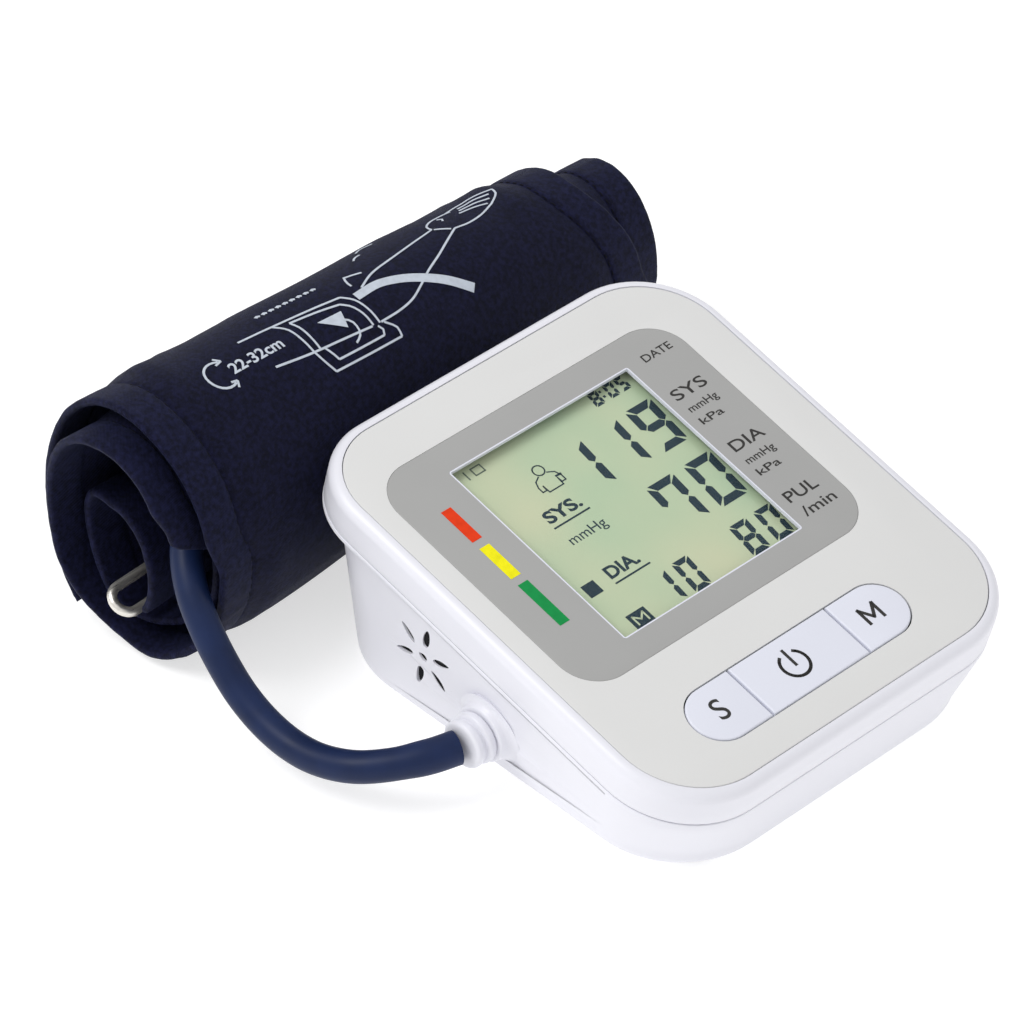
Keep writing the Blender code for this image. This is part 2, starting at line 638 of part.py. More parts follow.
def cuff_edges(theta):
    """Near and far edge of the band at an angle, read from the laps with soft steps between them."""
    for (start, *low), (stop, *high) in zip(CUFF_LAPS, CUFF_LAPS[1:]):
        if theta <= stop:
            part = smoothstep((theta - start) / (stop - start))
            return [a + (b - a) * part for a, b in zip(low, high)]
    return CUFF_LAPS[-1][1:]


def cuff_point(theta, offset, share):
    """Point on the band: offset outwards from its middle, share of the way from the near to the far end."""
    along = (cuff_mid(theta + 1) - cuff_mid(theta - 1)).normalized()
    flat = cuff_mid(theta) + offset * Vector((-along.y, along.x))
    near, far = Vector(CUFF_NEAR), Vector(CUFF_FAR)
    start, stop = cuff_edges(theta)
    x = start + share * (stop - start)
    way = (x - near.x) / (far.x - near.x)
    mid = near.lerp(far, way)
    wide = 1 + (CUFF_FAR_SCALE[0] - 1) * way
    tall = 1 + (CUFF_FAR_SCALE[1] - 1) * way
    return Vector((x, mid.y + flat.x * wide, mid.z + flat.y * tall))


def band(name, start, stop, low, high, look, shares=(0.0, 0.33, 0.67, 1.0), step=15.0):
    """Layer of the roll between two offsets, from one angle to another."""
    count = max(int((stop - start) / step), 2)
    rings = []
    for index in range(count + 1):
        theta = start + (stop - start) * index / count
        inside = [cuff_point(theta, low, s) for s in shares]
        outside = [cuff_point(theta, high, s) for s in reversed(shares)]
        rings.append(inside + outside)
    return solid_rings(name, rings, None, look)


def make_cuff():
    last = CUFF_START + 360 * CUFF_TURNS
    half = CUFF_BAND / 2
    band("cuff_outer_cloth", CUFF_START, last, half - 1.3, half, (NAVY, 0.8))
    band("cuff_lining", CUFF_START, last, -half, 1.1 - half, (NAVY, 0.8))
    band("air_bladder", CUFF_START + 60, CUFF_START + 510, 1.4 - half, half - 1.6, BLACK_PLASTIC,
         shares=(0.1, 0.5, 0.9))
    band("hook_strip", last - 75, last - 15, half + GAP, half + 1.2, ((0.02, 0.02, 0.03), 0.9),
         shares=(0.15, 0.85))


def make_ring(holder):
    """Long flat wire loop at the cuff's inner end, in coordinates about its hinge wire."""
    half = RING_WIDTH / 2
    points = []
    for side in (1, -1):
        x_mid = side * (RING_LENGTH / 2 - half)
        for step in range(9):
            angle = math.radians(-90 * side + 180 * step / 8)
            points.append(Vector((x_mid + half * math.cos(angle), half + half * math.sin(angle), 0)) * MM)
    tube("metal_ring", points, RING_WIRE * MM, holder, STEEL, resolution=2, closed=True)


def make_hose():
    points = smooth_points([Vector(p) for p in HOSE_ROUTE], 44)
    tube("air_hose", points, HOSE_DIAMETER / 2, None, (NAVY, 0.5), resolution=3)


def make_plug(holder):
    """Hose plug: nose in the socket, two rings outside it and the collar that grips the hose."""
    profile = [(0.0, 11.0), (2.4, 11.0), (2.9, 10.0), (2.9, 0.0), (5.6, 0.0), (5.8, -0.3), (5.8, -1.7),
               (5.5, -2.0), (4.9, -2.2), (4.9, -2.7), (5.2, -2.9), (5.4, -3.2), (5.4, -4.6), (5.1, -4.9),
               (0.0, -4.9)]
    turned("hose_plug", profile, (0, 0, 0), holder, (WHITE, 0.35), turn=ALONG_X, steps=32)


def make_bladder_port():
    """Nipple for the hose's inner end on a tab that rises from the inner turn of the roll."""
    x, y, z = (1000 * c for c in HOSE_ROUTE[-1])
    nipple = turned("bladder_port", [(0.0, 7.0), (3.4, 7.0), (3.4, 0.0), (2.6, -0.6), (0.0, -0.6)],
                    (x + 1.4, y, z), None, BLACK_PLASTIC, turn=ALONG_X, steps=16)
    join(nipple, box("port_tab", (6.0, 4.0, 10.2), (x + 4.6, y, z - 4.6), None), "UNION")


# ---------------------------------------------------------------- assembly

clear_scene()
PARTS = collection("blood_pressure_monitor")
CUTTERS = collection("cutters")
CUTTERS.hide_render = True

SCREWS = (FRONT_SCREW, (-FRONT_SCREW[0], FRONT_SCREW[1]), BACK_SCREW, (-BACK_SCREW[0], BACK_SCREW[1]))
BOSS_TOPS = (14.0, 14.0, 24.0, 24.0)
KEY_PLACES = (-22.25, 0.0, 22.25)
PLUG_AT = (-52.5, *PORT_AT)

monitor_frame = empty("monitor_frame", MONITOR_AT)
face_frame = empty("face_frame", (0, 0, FACE_HEIGHT), FACE_TILT, monitor_frame)
key_frames = [empty(f"key_frame_{i + 1}", (KEY_MID[0] + x, KEY_MID[1], 0), 0.0, face_frame)
              for i, x in enumerate(KEY_PLACES)]
plug_frame = empty("plug_frame", PLUG_AT, 0.0, monitor_frame)

make_upper_shell(monitor_frame, face_frame)
make_lower_shell(monitor_frame)
make_battery_door(monitor_frame)
make_feet_and_screws(monitor_frame)
make_face_plate(face_frame)
make_display(face_frame)
make_keys(face_frame, key_frames)
make_switches(face_frame)
make_board(face_frame)
make_power(monitor_frame)
make_air_system(monitor_frame)
make_socket_and_speaker(monitor_frame)
make_cuff()
ring_frame = empty("ring_frame", RING_AT)
ring_frame.rotation_euler = RING_TURN
make_ring(ring_frame)
make_plug(plug_frame)
make_hose()
make_bladder_port()
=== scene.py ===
"""Looks of the upper arm blood pressure monitor, its rolled cuff and its hose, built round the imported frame.

Lengths are in millimetres and turned into metres by the helpers, except the hose's route.
Face coordinates are (across, up the slope, out of the face), about the middle of the tilted face.
"""
import math

import bmesh
import bpy
import numpy as np
from mathutils import Matrix, Vector, noise


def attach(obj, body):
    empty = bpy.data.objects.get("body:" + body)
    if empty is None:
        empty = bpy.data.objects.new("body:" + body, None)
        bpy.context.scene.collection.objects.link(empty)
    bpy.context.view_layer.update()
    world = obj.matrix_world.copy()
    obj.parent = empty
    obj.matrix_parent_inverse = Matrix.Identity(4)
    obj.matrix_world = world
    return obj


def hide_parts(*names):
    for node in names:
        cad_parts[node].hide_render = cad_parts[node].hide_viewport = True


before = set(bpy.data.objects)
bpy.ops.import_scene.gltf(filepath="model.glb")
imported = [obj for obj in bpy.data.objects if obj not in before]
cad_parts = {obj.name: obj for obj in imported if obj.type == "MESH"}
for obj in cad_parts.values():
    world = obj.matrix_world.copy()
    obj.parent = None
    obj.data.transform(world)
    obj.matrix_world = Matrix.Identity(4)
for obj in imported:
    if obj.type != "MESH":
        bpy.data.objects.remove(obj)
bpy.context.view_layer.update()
SCENE = bpy.context.scene
MM = 0.001

# Monitor, as in the frame
MONITOR_AT = Vector((2.0, -27.5, 0.0))
FACE_TILT = math.radians(12.9)
FACE_HEIGHT = 40.2
FACE_HALF = (52.5, 59.0)
FACE_RADII = (20.9, 17.9, 20.9, 20.9)
RIM_ROUND = 2.4
POCKET_INSET = 2.6
POCKET_DEPTH = 1.2
WALL = 2.2
SKIRT_DEPTH = 8.8
STEP_INSET = 3.5
BASE_HALF = (48.0, 54.5)
BASE_MID_Y = 2.75
BASE_RADII = (22.0, 23.0, 22.0, 22.0)
BASE_Z = 1.0
BASE_ROUND = 4.0
FLOOR_TOP = 3.4
LCD_MID = (-2.5, 10.7)
LCD_VIEW = (26.0, 26.9)
LCD_DEPTH = 2.6
LENS_MID = (-2.7, 11.0)
LENS_HALF = (41.9, 33.6)
LENS_RADIUS = 9.1
KEY_MID = (-2.5, -41.2)
KEY_HALF = (30.3, 7.0)
KEY_SPLIT = 14.2
DOOR_HALF_X = 30.0
DOOR_FRONT_Y = -8.0
SCREWS = ((40.5, -26.0), (-40.5, -26.0), (38.0, 44.0), (-38.0, 44.0))
FEET = ((33.0, -41.0), (-33.0, -41.0), (38.0, 28.0), (-38.0, 28.0))
SPEAKER_AT = (22.2, 19.5)
PORT_AT = (1.7, 13.5)
PLUG_X = -52.5

# Rolled cuff, as in the frame
CUFF_NEAR = Vector((-75.3, 51.6, 33.0))
CUFF_FAR = Vector((79.2, 64.6, 24.9))
CUFF_HALF = (28.6, 37.4)
CUFF_FAR_SCALE = (0.82, 0.753)
CUFF_BAND = 4.4
CUFF_PITCH = 5.4
CUFF_START = -40.0
CUFF_TURNS = 2.75
CUFF_LAST = CUFF_START + 360 * CUFF_TURNS
CORE_SHIFT = (6.0, -10.0)
CORE_HALF = (10.4, 14.0)
CUFF_LAPS = (                    # degrees round the band, its near edge and its far edge
    (-40, -76.0, 84.2), (230, -76.0, 82.0), (320, -67.0, 77.0), (366, -69.0, 76.0),
    (384, -80.5, 76.0), (405, -83.0, 76.0), (468, -85.0, 76.0),
    (560, -82.0, 74.0), (630, -76.0, 71.0), (690, -71.4, 70.0), (720, -72.0, 69.0),
    (742, -75.0, 66.0), (810, -77.5, 59.0), (950, -78.0, 59.0),
)
HEM = 9.4                        # the sewn hem's width

# Hose
HOSE_DIAMETER = 0.007
HOSE_ROUTE = (
    (-0.0564, -0.0255, 0.0135), (-0.0624, -0.0234, 0.0132), (-0.0688, -0.0188, 0.0119),
    (-0.0731, -0.0128, 0.0100), (-0.0754, -0.0052, 0.0082), (-0.0763, 0.0025, 0.0077),
    (-0.0767, 0.0101, 0.0091), (-0.0769, 0.0171, 0.0124), (-0.0768, 0.0233, 0.0173),
    (-0.0766, 0.0287, 0.0232), (-0.0751, 0.0345, 0.0288), (-0.0711, 0.0405, 0.0337),
    (-0.0648, 0.0450, 0.0377), (-0.0568, 0.0480, 0.0403), (-0.0478, 0.0497, 0.0416),
    (-0.0380, 0.0505, 0.0430),
)

# Ring
RING_AT = (0.0, 58.0, 11.2)
RING_TURN = (30.0, 1.1, 4.5)
RING_LENGTH = 158.0
RING_WIDTH = 6.4
RING_WIRE = 1.1

BASE_FRAME = Matrix.Translation(MONITOR_AT * MM)
FACE_FRAME = BASE_FRAME @ Matrix.Translation((0, 0, FACE_HEIGHT * MM)) @ Matrix.Rotation(FACE_TILT, 4, "X")
WORLD = Matrix()


# ---------------------------------------------------------------- camera, light and floor

def make_camera():
    """Long lens from the front left, above the object, as for a catalogue picture."""
    data = bpy.data.cameras.new("camera")
    data.lens = 203.7
    data.sensor_width = 36.0
    data.clip_end = 20.0
    camera = bpy.data.objects.new("camera", data)
    SCENE.collection.objects.link(camera)
    yaw, pitch, roll = (math.radians(a) for a in (44.7826, 39.7017, 1.4034))
    forward = Vector((math.sin(yaw) * math.cos(pitch), math.cos(yaw) * math.cos(pitch), -math.sin(pitch)))
    level = Vector((math.cos(yaw), -math.sin(yaw), 0))
    right = level * math.cos(roll) + level.cross(forward) * math.sin(roll)
    up = right.cross(forward)
    matrix = Matrix((right, up, -forward)).transposed().to_4x4()
    matrix.translation = (-0.6688, -0.6570, 0.8067)
    camera.matrix_world = matrix
    SCENE.camera = camera


def area_light(name, at, target, size, power, colour=(1, 1, 1)):
    data = bpy.data.lights.new(name, "AREA")
    data.shape = "DISK"
    data.size = size
    data.energy = power
    data.color = colour
    light = bpy.data.objects.new(name, data)
    light.location = at
    light.rotation_euler = (Vector(target) - Vector(at)).to_track_quat("-Z", "Y").to_euler()
    SCENE.collection.objects.link(light)


def make_studio():
    world = bpy.data.worlds.new("studio")
    world.use_nodes = True
    back = world.node_tree.nodes["Background"]
    back.inputs["Color"].default_value = (1.0, 1.0, 1.0, 1.0)
    back.inputs["Strength"].default_value = 0.72
    SCENE.world = world
    SCENE.view_settings.view_transform = "Standard"
    area_light("key_light", (-0.9, 0.5, 1.4), (0, 0, 0.03), 0.9, 13.5)
    area_light("fill_light", (0.9, -1.2, 1.0), (0, 0, 0.03), 1.2, 0.8)
    bm = bmesh.new()
    bmesh.ops.create_grid(bm, x_segments=8, y_segments=8, size=3.0)
    mesh = bpy.data.meshes.new("floor")
    bm.to_mesh(mesh)
    bm.free()
    floor = bpy.data.objects.new("floor", mesh)
    floor.location.z = -0.0002
    SCENE.collection.objects.link(floor)
    mesh.materials.append(plain("floor_paper", (0.55, 0.55, 0.55), 0.9, 0.62))


# ---------------------------------------------------------------- materials

def new_material(name):
    mat = bpy.data.materials.new(name)
    mat.use_nodes = True
    tree = mat.node_tree
    return mat, tree.nodes, tree.links, tree.nodes["Principled BSDF"]


def plain(name, colour, roughness, glow):
    """Matte paper with a faint unevenness, lit from below so that shadows on it stay pale."""
    mat, nodes, links, shader = new_material(name)
    shader.inputs["Roughness"].default_value = roughness
    shader.inputs["Emission Color"].default_value = (1.0, 1.0, 1.0, 1.0)
    shader.inputs["Emission Strength"].default_value = glow
    blotch = noise_node(nodes, links, 6.0, 2)
    ramp(nodes, links, blotch, shader, "Base Color", [c * 0.985 for c in colour], colour)
    return mat


def noise_node(nodes, links, scale, detail=3, coords="Object"):
    where = nodes.new("ShaderNodeTexCoord")
    made = nodes.new("ShaderNodeTexNoise")
    made.inputs["Scale"].default_value = scale
    made.inputs["Detail"].default_value = detail
    links.new(where.outputs[coords], made.inputs["Vector"])
    return made


def ramp(nodes, links, source, shader, socket, low, high, start=0.3, stop=0.7, output="Fac"):
    """Drive a socket between two colours or values by a texture."""
    made = nodes.new("ShaderNodeValToRGB")
    made.color_ramp.elements[0].position = start
    made.color_ramp.elements[1].position = stop
    pair = [v if hasattr(v, "__len__") else (v, v, v) for v in (low, high)]
    for element, value in zip(made.color_ramp.elements, pair):
        element.color = (*value[:3], 1.0)
    links.new(source.outputs[output], made.inputs["Fac"])
    links.new(made.outputs["Color"], shader.inputs[socket])
    return made


def bump(nodes, links, shader, source, distance, strength=1.0, output="Fac", after=None):
    made = nodes.new("ShaderNodeBump")
    made.inputs["Distance"].default_value = distance
    made.inputs["Strength"].default_value = strength
    links.new(source.outputs[output], made.inputs["Height"])
    if after is not None:
        links.new(after.outputs["Normal"], made.inputs["Normal"])
    links.new(made.outputs["Normal"], shader.inputs["Normal"])
    return made


def moulded(name, colour, roughness=0.35, grain=2200.0, depth=0.00002, coat=0.0, variation=0.03):
    """Moulded plastic: fine spark-eroded grain, faint unevenness of colour and gloss."""
    mat, nodes, links, shader = new_material(name)
    shader.inputs["IOR"].default_value = 1.46
    shader.inputs["Coat Weight"].default_value = coat
    shader.inputs["Coat Roughness"].default_value = 0.12
    blotch = noise_node(nodes, links, 45.0, 3)
    low = [c * (1 - variation) for c in colour]
    ramp(nodes, links, blotch, shader, "Base Color", low, colour)
    ramp(nodes, links, blotch, shader, "Roughness", roughness * 0.88, min(roughness * 1.12, 1.0))
    fine = noise_node(nodes, links, grain, 2)
    bump(nodes, links, shader, fine, depth, 0.5)
    return mat


def metal(name, colour, roughness, brushed=0.15):
    mat, nodes, links, shader = new_material(name)
    shader.inputs["Metallic"].default_value = 0.88
    where = nodes.new("ShaderNodeTexCoord")
    stretch = nodes.new("ShaderNodeMapping")
    stretch.inputs["Scale"].default_value = (60.0, 1800.0, 1800.0)
    links.new(where.outputs["Object"], stretch.inputs["Vector"])
    lines = nodes.new("ShaderNodeTexNoise")
    lines.inputs["Scale"].default_value = 1.0
    lines.inputs["Detail"].default_value = 3
    links.new(stretch.outputs["Vector"], lines.inputs["Vector"])
    ramp(nodes, links, lines, shader, "Base Color", [c * 0.88 for c in colour], colour)
    ramp(nodes, links, lines, shader, "Roughness", roughness * 0.7, roughness * 1.4)
    bump(nodes, links, shader, lines, 0.00001, brushed)
    return mat


def woven(name, colour, hem_colour, weave=0.42):
    """Fine nylon cloth: two crossed sets of threads along the band; the hems are a lighter tape."""
    mat, nodes, links, shader = new_material(name)
    shader.inputs["Roughness"].default_value = 0.68
    shader.inputs["Specular IOR Level"].default_value = 0.10
    shader.inputs["Sheen Weight"].default_value = 0.06
    shader.inputs["Sheen Roughness"].default_value = 0.4
    shader.inputs["Sheen Tint"].default_value = (0.35, 0.42, 0.75, 1.0)
    spot = nodes.new("ShaderNodeAttribute")
    spot.attribute_name = "cloth"
    split = nodes.new("ShaderNodeSeparateXYZ")
    links.new(spot.outputs["Vector"], split.inputs["Vector"])
    threads = []
    for output in ("X", "Y"):
        wave = nodes.new("ShaderNodeMath")
        wave.operation = "MULTIPLY"
        wave.inputs[1].default_value = 2 * math.pi / weave
        links.new(split.outputs[output], wave.inputs[0])
        sine = nodes.new("ShaderNodeMath")
        sine.operation = "SINE"
        links.new(wave.outputs[0], sine.inputs[0])
        threads.append(sine)
    cross = nodes.new("ShaderNodeMath")
    cross.operation = "MULTIPLY"
    links.new(threads[0].outputs[0], cross.inputs[0])
    links.new(threads[1].outputs[0], cross.inputs[1])
    mottle = noise_node(nodes, links, 900.0, 5)
    edge = nodes.new("ShaderNodeMapRange")
    edge.inputs["From Min"].default_value = HEM - 0.6
    edge.inputs["From Max"].default_value = HEM + 0.4
    edge.inputs["To Min"].default_value = 1.0
    edge.inputs["To Max"].default_value = 0.0
    links.new(split.outputs["Z"], edge.inputs["Value"])
    base = nodes.new("ShaderNodeMix")
    base.data_type = "RGBA"
    base.inputs["A"].default_value = (*colour, 1.0)
    base.inputs["B"].default_value = (*hem_colour, 1.0)
    links.new(edge.outputs["Result"], base.inputs["Factor"])
    shade = nodes.new("ShaderNodeMix")
    shade.data_type = "RGBA"
    shade.blend_type = "MULTIPLY"
    shade.inputs["Factor"].default_value = 1.0
    tone = nodes.new("ShaderNodeValToRGB")
    tone.color_ramp.elements[0].position = 0.36
    tone.color_ramp.elements[0].color = (0.50, 0.50, 0.56, 1.0)
    tone.color_ramp.elements[1].position = 0.66
    tone.color_ramp.elements[1].color = (1.50, 1.50, 1.60, 1.0)
    links.new(mottle.outputs["Fac"], tone.inputs["Fac"])
    links.new(base.outputs["Result"], shade.inputs["A"])
    links.new(tone.outputs["Color"], shade.inputs["B"])
    links.new(shade.outputs["Result"], shader.inputs["Base Color"])
    soft = bump(nodes, links, shader, mottle, 0.00016, 0.8)
    bump(nodes, links, shader, cross, 0.00007, 0.8, output="Value", after=soft)
    return mat


def printed(name, colour, roughness=0.5):
    """Screen-printed ink, a little uneven."""
    mat, nodes, links, shader = new_material(name)
    shader.inputs["Roughness"].default_value = roughness
    shader.inputs["Specular IOR Level"].default_value = 0.15
    patch = noise_node(nodes, links, 700.0, 3)
    ramp(nodes, links, patch, shader, "Base Color", [c * 0.86 for c in colour], colour, 0.25, 0.6)
    bump(nodes, links, shader, patch, 0.00001, 0.3)
    return mat


def lcd_look():
    """Grey green display with a slow drift of tone and a fine cell grid."""
    mat, nodes, links, shader = new_material("lcd_screen")
    shader.inputs["Roughness"].default_value = 0.3
    where = nodes.new("ShaderNodeTexCoord")
    cloud = nodes.new("ShaderNodeTexNoise")
    cloud.inputs["Scale"].default_value = 38.0
    cloud.inputs["Detail"].default_value = 1
    links.new(where.outputs["Object"], cloud.inputs["Vector"])
    tone = nodes.new("ShaderNodeValToRGB")
    tone.color_ramp.elements[0].position = 0.32
    tone.color_ramp.elements[0].color = (0.430, 0.560, 0.375, 1.0)
    tone.color_ramp.elements[1].position = 0.68
    tone.color_ramp.elements[1].color = (0.560, 0.600, 0.400, 1.0)
    links.new(cloud.outputs["Fac"], tone.inputs["Fac"])
    links.new(tone.outputs["Color"], shader.inputs["Base Color"])
    grid = nodes.new("ShaderNodeTexNoise")
    grid.inputs["Scale"].default_value = 5000.0
    links.new(where.outputs["Object"], grid.inputs["Vector"])
    bump(nodes, links, shader, grid, 0.000005, 0.3)
    return mat


def window_look():
    mat, nodes, links, shader = new_material("window")
    shader.inputs["Base Color"].default_value = (0.60, 0.62, 0.60, 1.0)
    shader.inputs["Alpha"].default_value = 0.015
    smear = noise_node(nodes, links, 60.0, 2)
    ramp(nodes, links, smear, shader, "Roughness", 0.03, 0.07)
    return mat


def rubber(name, colour, roughness=0.55, grain=900.0):
    mat, nodes, links, shader = new_material(name)
    shader.inputs["Specular IOR Level"].default_value = 0.22
    dust = noise_node(nodes, links, 120.0, 4)
    ramp(nodes, links, dust, shader, "Base Color", [c * 0.8 for c in colour], [c * 1.15 for c in colour])
    ramp(nodes, links, dust, shader, "Roughness", roughness * 0.85, min(roughness * 1.15, 1.0))
    fine = noise_node(nodes, links, grain, 3)
    bump(nodes, links, shader, fine, 0.00003, 0.5)
    return mat


def make_looks():
    return {
        "housing": moulded("white_housing", (0.775, 0.775, 0.835), 0.36, coat=0.05, variation=0.015),
        "plate": moulded("pale_face", (0.700, 0.700, 0.695), 0.5, 3200.0, variation=0.015),
        "panel": moulded("grey_panel", (0.375, 0.375, 0.370), 0.42, 3600.0, variation=0.03),
        "key": moulded("key_white", (0.735, 0.750, 0.840), 0.38, 2600.0, variation=0.015),
        "screen": lcd_look(),
        "window": window_look(),
        "ink": printed("grey_ink", (0.040, 0.039, 0.037)),
        "segment": printed("segment_ink", (0.013, 0.035, 0.052), 0.35),
        "faint_segment": printed("faint_segment_ink", (0.10, 0.14, 0.11), 0.35),
        "red": printed("red_ink", (0.76, 0.045, 0.006)),
        "yellow": printed("yellow_ink", (0.90, 0.84, 0.006)),
        "green": printed("green_ink", (0.006, 0.275, 0.065)),
        "cloth": woven("navy_cloth", (0.0050, 0.0056, 0.0205), (0.0066, 0.0076, 0.0265)),
        "cloth_print": printed("cloth_print", (0.55, 0.60, 0.68), 0.8),
        "thread": rubber("navy_thread", (0.0022, 0.0025, 0.007), 0.9, 2500.0),
        "hook": rubber("hook_tape", (0.006, 0.006, 0.008), 0.95, 2600.0),
        "hose": rubber("navy_rubber", (0.0075, 0.0175, 0.064), 0.45, 500.0),
        "film": rubber("bladder_film", (0.03, 0.03, 0.035), 0.5),
        "black_rubber": rubber("black_rubber", (0.045, 0.045, 0.05), 0.8),
        "steel": metal("bright_steel", (0.86, 0.83, 0.77), 0.34, 0.05),
        "spring_metal": metal("spring_metal", (0.78, 0.77, 0.74), 0.25),
        "inner": moulded("inner_plastic", (0.70, 0.70, 0.69), 0.55),
        "dark": moulded("dark_plastic", (0.035, 0.035, 0.04), 0.5),
        "board": moulded("solder_mask", (0.03, 0.22, 0.09), 0.35),
        "light_guide": moulded("light_guide", (0.88, 0.88, 0.86), 0.25),
        "cell": moulded("cell_wrap", (0.10, 0.14, 0.20), 0.3, coat=0.4),
        "soft_tube": rubber("clear_tube", (0.60, 0.60, 0.56), 0.35),
    }


CARRIED = {
    "housing": ("battery_door",),
    "window": ("display_window",),
    "screen": ("lcd_panel",),
    "inner": ("lcd_holder", "battery_bay", "air_tee", "pump_head"),
    "light_guide": ("backlight_plate",),
    "black_rubber": ("zebra_strip", "pump_sleeve", "foot_1", "foot_2", "foot_3", "foot_4"),
    "board": ("main_pcb",),
    "dark": ("controller_chip", "pressure_sensor", "switch_set", "switch_power", "switch_memory", "speaker",
             "release_valve"),
    "steel": ("pump_motor", "case_screw_1", "case_screw_2", "case_screw_3", "case_screw_4"),
    "spring_metal": ("contact_spring_1", "contact_spring_2", "contact_spring_3", "contact_spring_4",
                     "contact_plate_front", "contact_plate_back"),
    "cell": ("battery_1", "battery_2", "battery_3", "battery_4"),
    "soft_tube": ("tube_socket_to_tee", "tube_tee_to_pump", "tube_pump_to_valve"),
    "film": ("bladder_port",),
}


def repaint_frame():
    for look, names in CARRIED.items():
        for name in names:
            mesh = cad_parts[name].data
            mesh.materials.clear()
            mesh.materials.append(LOOKS[look])


# ---------------------------------------------------------------- mesh helpers

def piece(name, bm, look, body, stands_for=(), matrix=WORLD, sharp=35.0):
    """Finish a mesh given in millimetres, place it and tie it to its CAD body."""
    bmesh.ops.recalc_face_normals(bm, faces=bm.faces)
    mesh = bpy.data.meshes.new(name)
    bm.to_mesh(mesh)
    bm.free()
    mesh.transform(matrix @ Matrix.Scale(MM, 4))
    mesh.materials.append(LOOKS[look])
    mesh.shade_smooth()
    mesh.set_sharp_from_angle(angle=math.radians(sharp))
    obj = bpy.data.objects.new(name, mesh)
    SCENE.collection.objects.link(obj)
    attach(obj, body)
    if stands_for:
        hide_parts(*stands_for)
    return obj


def outline(half, radii, inset=0.0, steps=16):
    """Rounded rectangle, counterclockwise; radii are back right, back left, front left, front right."""
    points = []
    for corner, (sx, sy) in enumerate(((1, 1), (-1, 1), (-1, -1), (1, -1))):
        radius = max(radii[corner] - inset, 0.01)
        mid_x = sx * (half[0] - inset - radius)
        mid_y = sy * (half[1] - inset - radius)
        for step in range(steps + 1):
            angle = math.radians(90 * (corner + step / steps))
            points.append((mid_x + radius * math.cos(angle), mid_y + radius * math.sin(angle)))
    return points


def stadium(half, ends=(True, True), inset=0.0, steps=20):
    """Strip with half-round ends; an end that is False is cut square with soft corners."""
    radius = half[1] - inset
    points = []
    for side, rounded in zip((1, -1), ends):
        if rounded:
            mid = side * (half[0] - half[1])
            for step in range(steps + 1):
                angle = math.radians((-90 if side > 0 else 90) + 180 * step / steps)
                points.append((mid + radius * math.cos(angle), radius * math.sin(angle)))
        else:
            reach = side * (half[0] - inset)
            for step in range(steps + 1):
                points.append((reach, side * radius * (2 * step / steps - 1)))
    return points


def skin(bm, rings, around=False):
    rows = [[bm.verts.new(p) for p in ring] for ring in rings]
    pairs = list(zip(rows, rows[1:]))
    if around:
        pairs.append((rows[-1], rows[0]))
    for low, high in pairs:
        for i in range(len(low)):
            j = (i + 1) % len(low)
            bm.faces.new((low[i], low[j], high[j], high[i]))
    return rows


def capped(rings):
    bm = bmesh.new()
    rows = skin(bm, rings)
    bm.faces.new(rows[0])
    bm.faces.new(rows[-1])
    return bm


def lathe(profile, steps=64):
    """Solid turned about +X; the profile is (x, radius), from axis to axis."""
    bm = bmesh.new()
    inner = [p for p in profile if p[1] > 1e-6]
    rings = []
    for x, radius in inner:
        rings.append([(x, radius * math.cos(2 * math.pi * i / steps),
                       radius * math.sin(2 * math.pi * i / steps))
                      for i in range(steps)])
    rows = skin(bm, rings)
    for row, (x, _) in ((rows[0], profile[0]), (rows[-1], profile[-1])):
        hub = bm.verts.new((x, 0, 0))
        for i in range(steps):
            bm.faces.new((row[i], row[(i + 1) % steps], hub))
    return bm


def lifted(points, depth, shift=(0.0, 0.0)):
    return [(x + shift[0], y + shift[1], -depth) for x, y in points]


def plate_with_round_edge(points_at, top, bottom, edge=0.3, shift=(0.0, 0.0)):
    """Flat plate whose upper edge is rounded; points_at(inset) gives its outline."""
    rings = [lifted(points_at(0.0), bottom, shift)]
    for step in range(5):
        angle = math.radians(90 * step / 4)
        inset = edge * (1 - math.cos(angle))
        rings.append(lifted(points_at(inset), top + edge * (1 - math.sin(angle)), shift))
    return capped(rings)


def cut(obj, cutters):
    """Cut closed meshes out of an object for good."""
    for index, bm in enumerate(cutters):
        mesh = bpy.data.meshes.new("cutter")
        bmesh.ops.recalc_face_normals(bm, faces=bm.faces)
        bm.to_mesh(mesh)
        bm.free()
        mesh.transform(Matrix.Scale(MM, 4))
        tool = bpy.data.objects.new(f"cutter_{index}", mesh)
        SCENE.collection.objects.link(tool)
        step = obj.modifiers.new("cut", "BOOLEAN")
        step.object = tool
        step.operation = "DIFFERENCE"
        step.solver = "EXACT"
        apply_modifiers(obj)
        bpy.data.objects.remove(tool, do_unlink=True)


def apply_modifiers(obj):
    """Swap an object's mesh for its evaluated one and drop its modifiers."""
    graph = bpy.context.evaluated_depsgraph_get()
    graph.update()
    made = bpy.data.meshes.new_from_object(obj.evaluated_get(graph))
    obj.modifiers.clear()
    obj.data = made


def smoothstep(x):
    x = min(max(x, 0.0), 1.0)
    return x * x * (3 - 2 * x)


# ---------------------------------------------------------------- housing

def face_ring(inset, depth):
    return lifted(outline(FACE_HALF, FACE_RADII, inset), depth)


def face_to_base(point):
    """Face coordinates to the monitor's own upright coordinates."""
    u, v, w = point
    cos, sin = math.cos(FACE_TILT), math.sin(FACE_TILT)
    return Vector((u, v * cos - w * sin, FACE_HEIGHT + v * sin + w * cos))


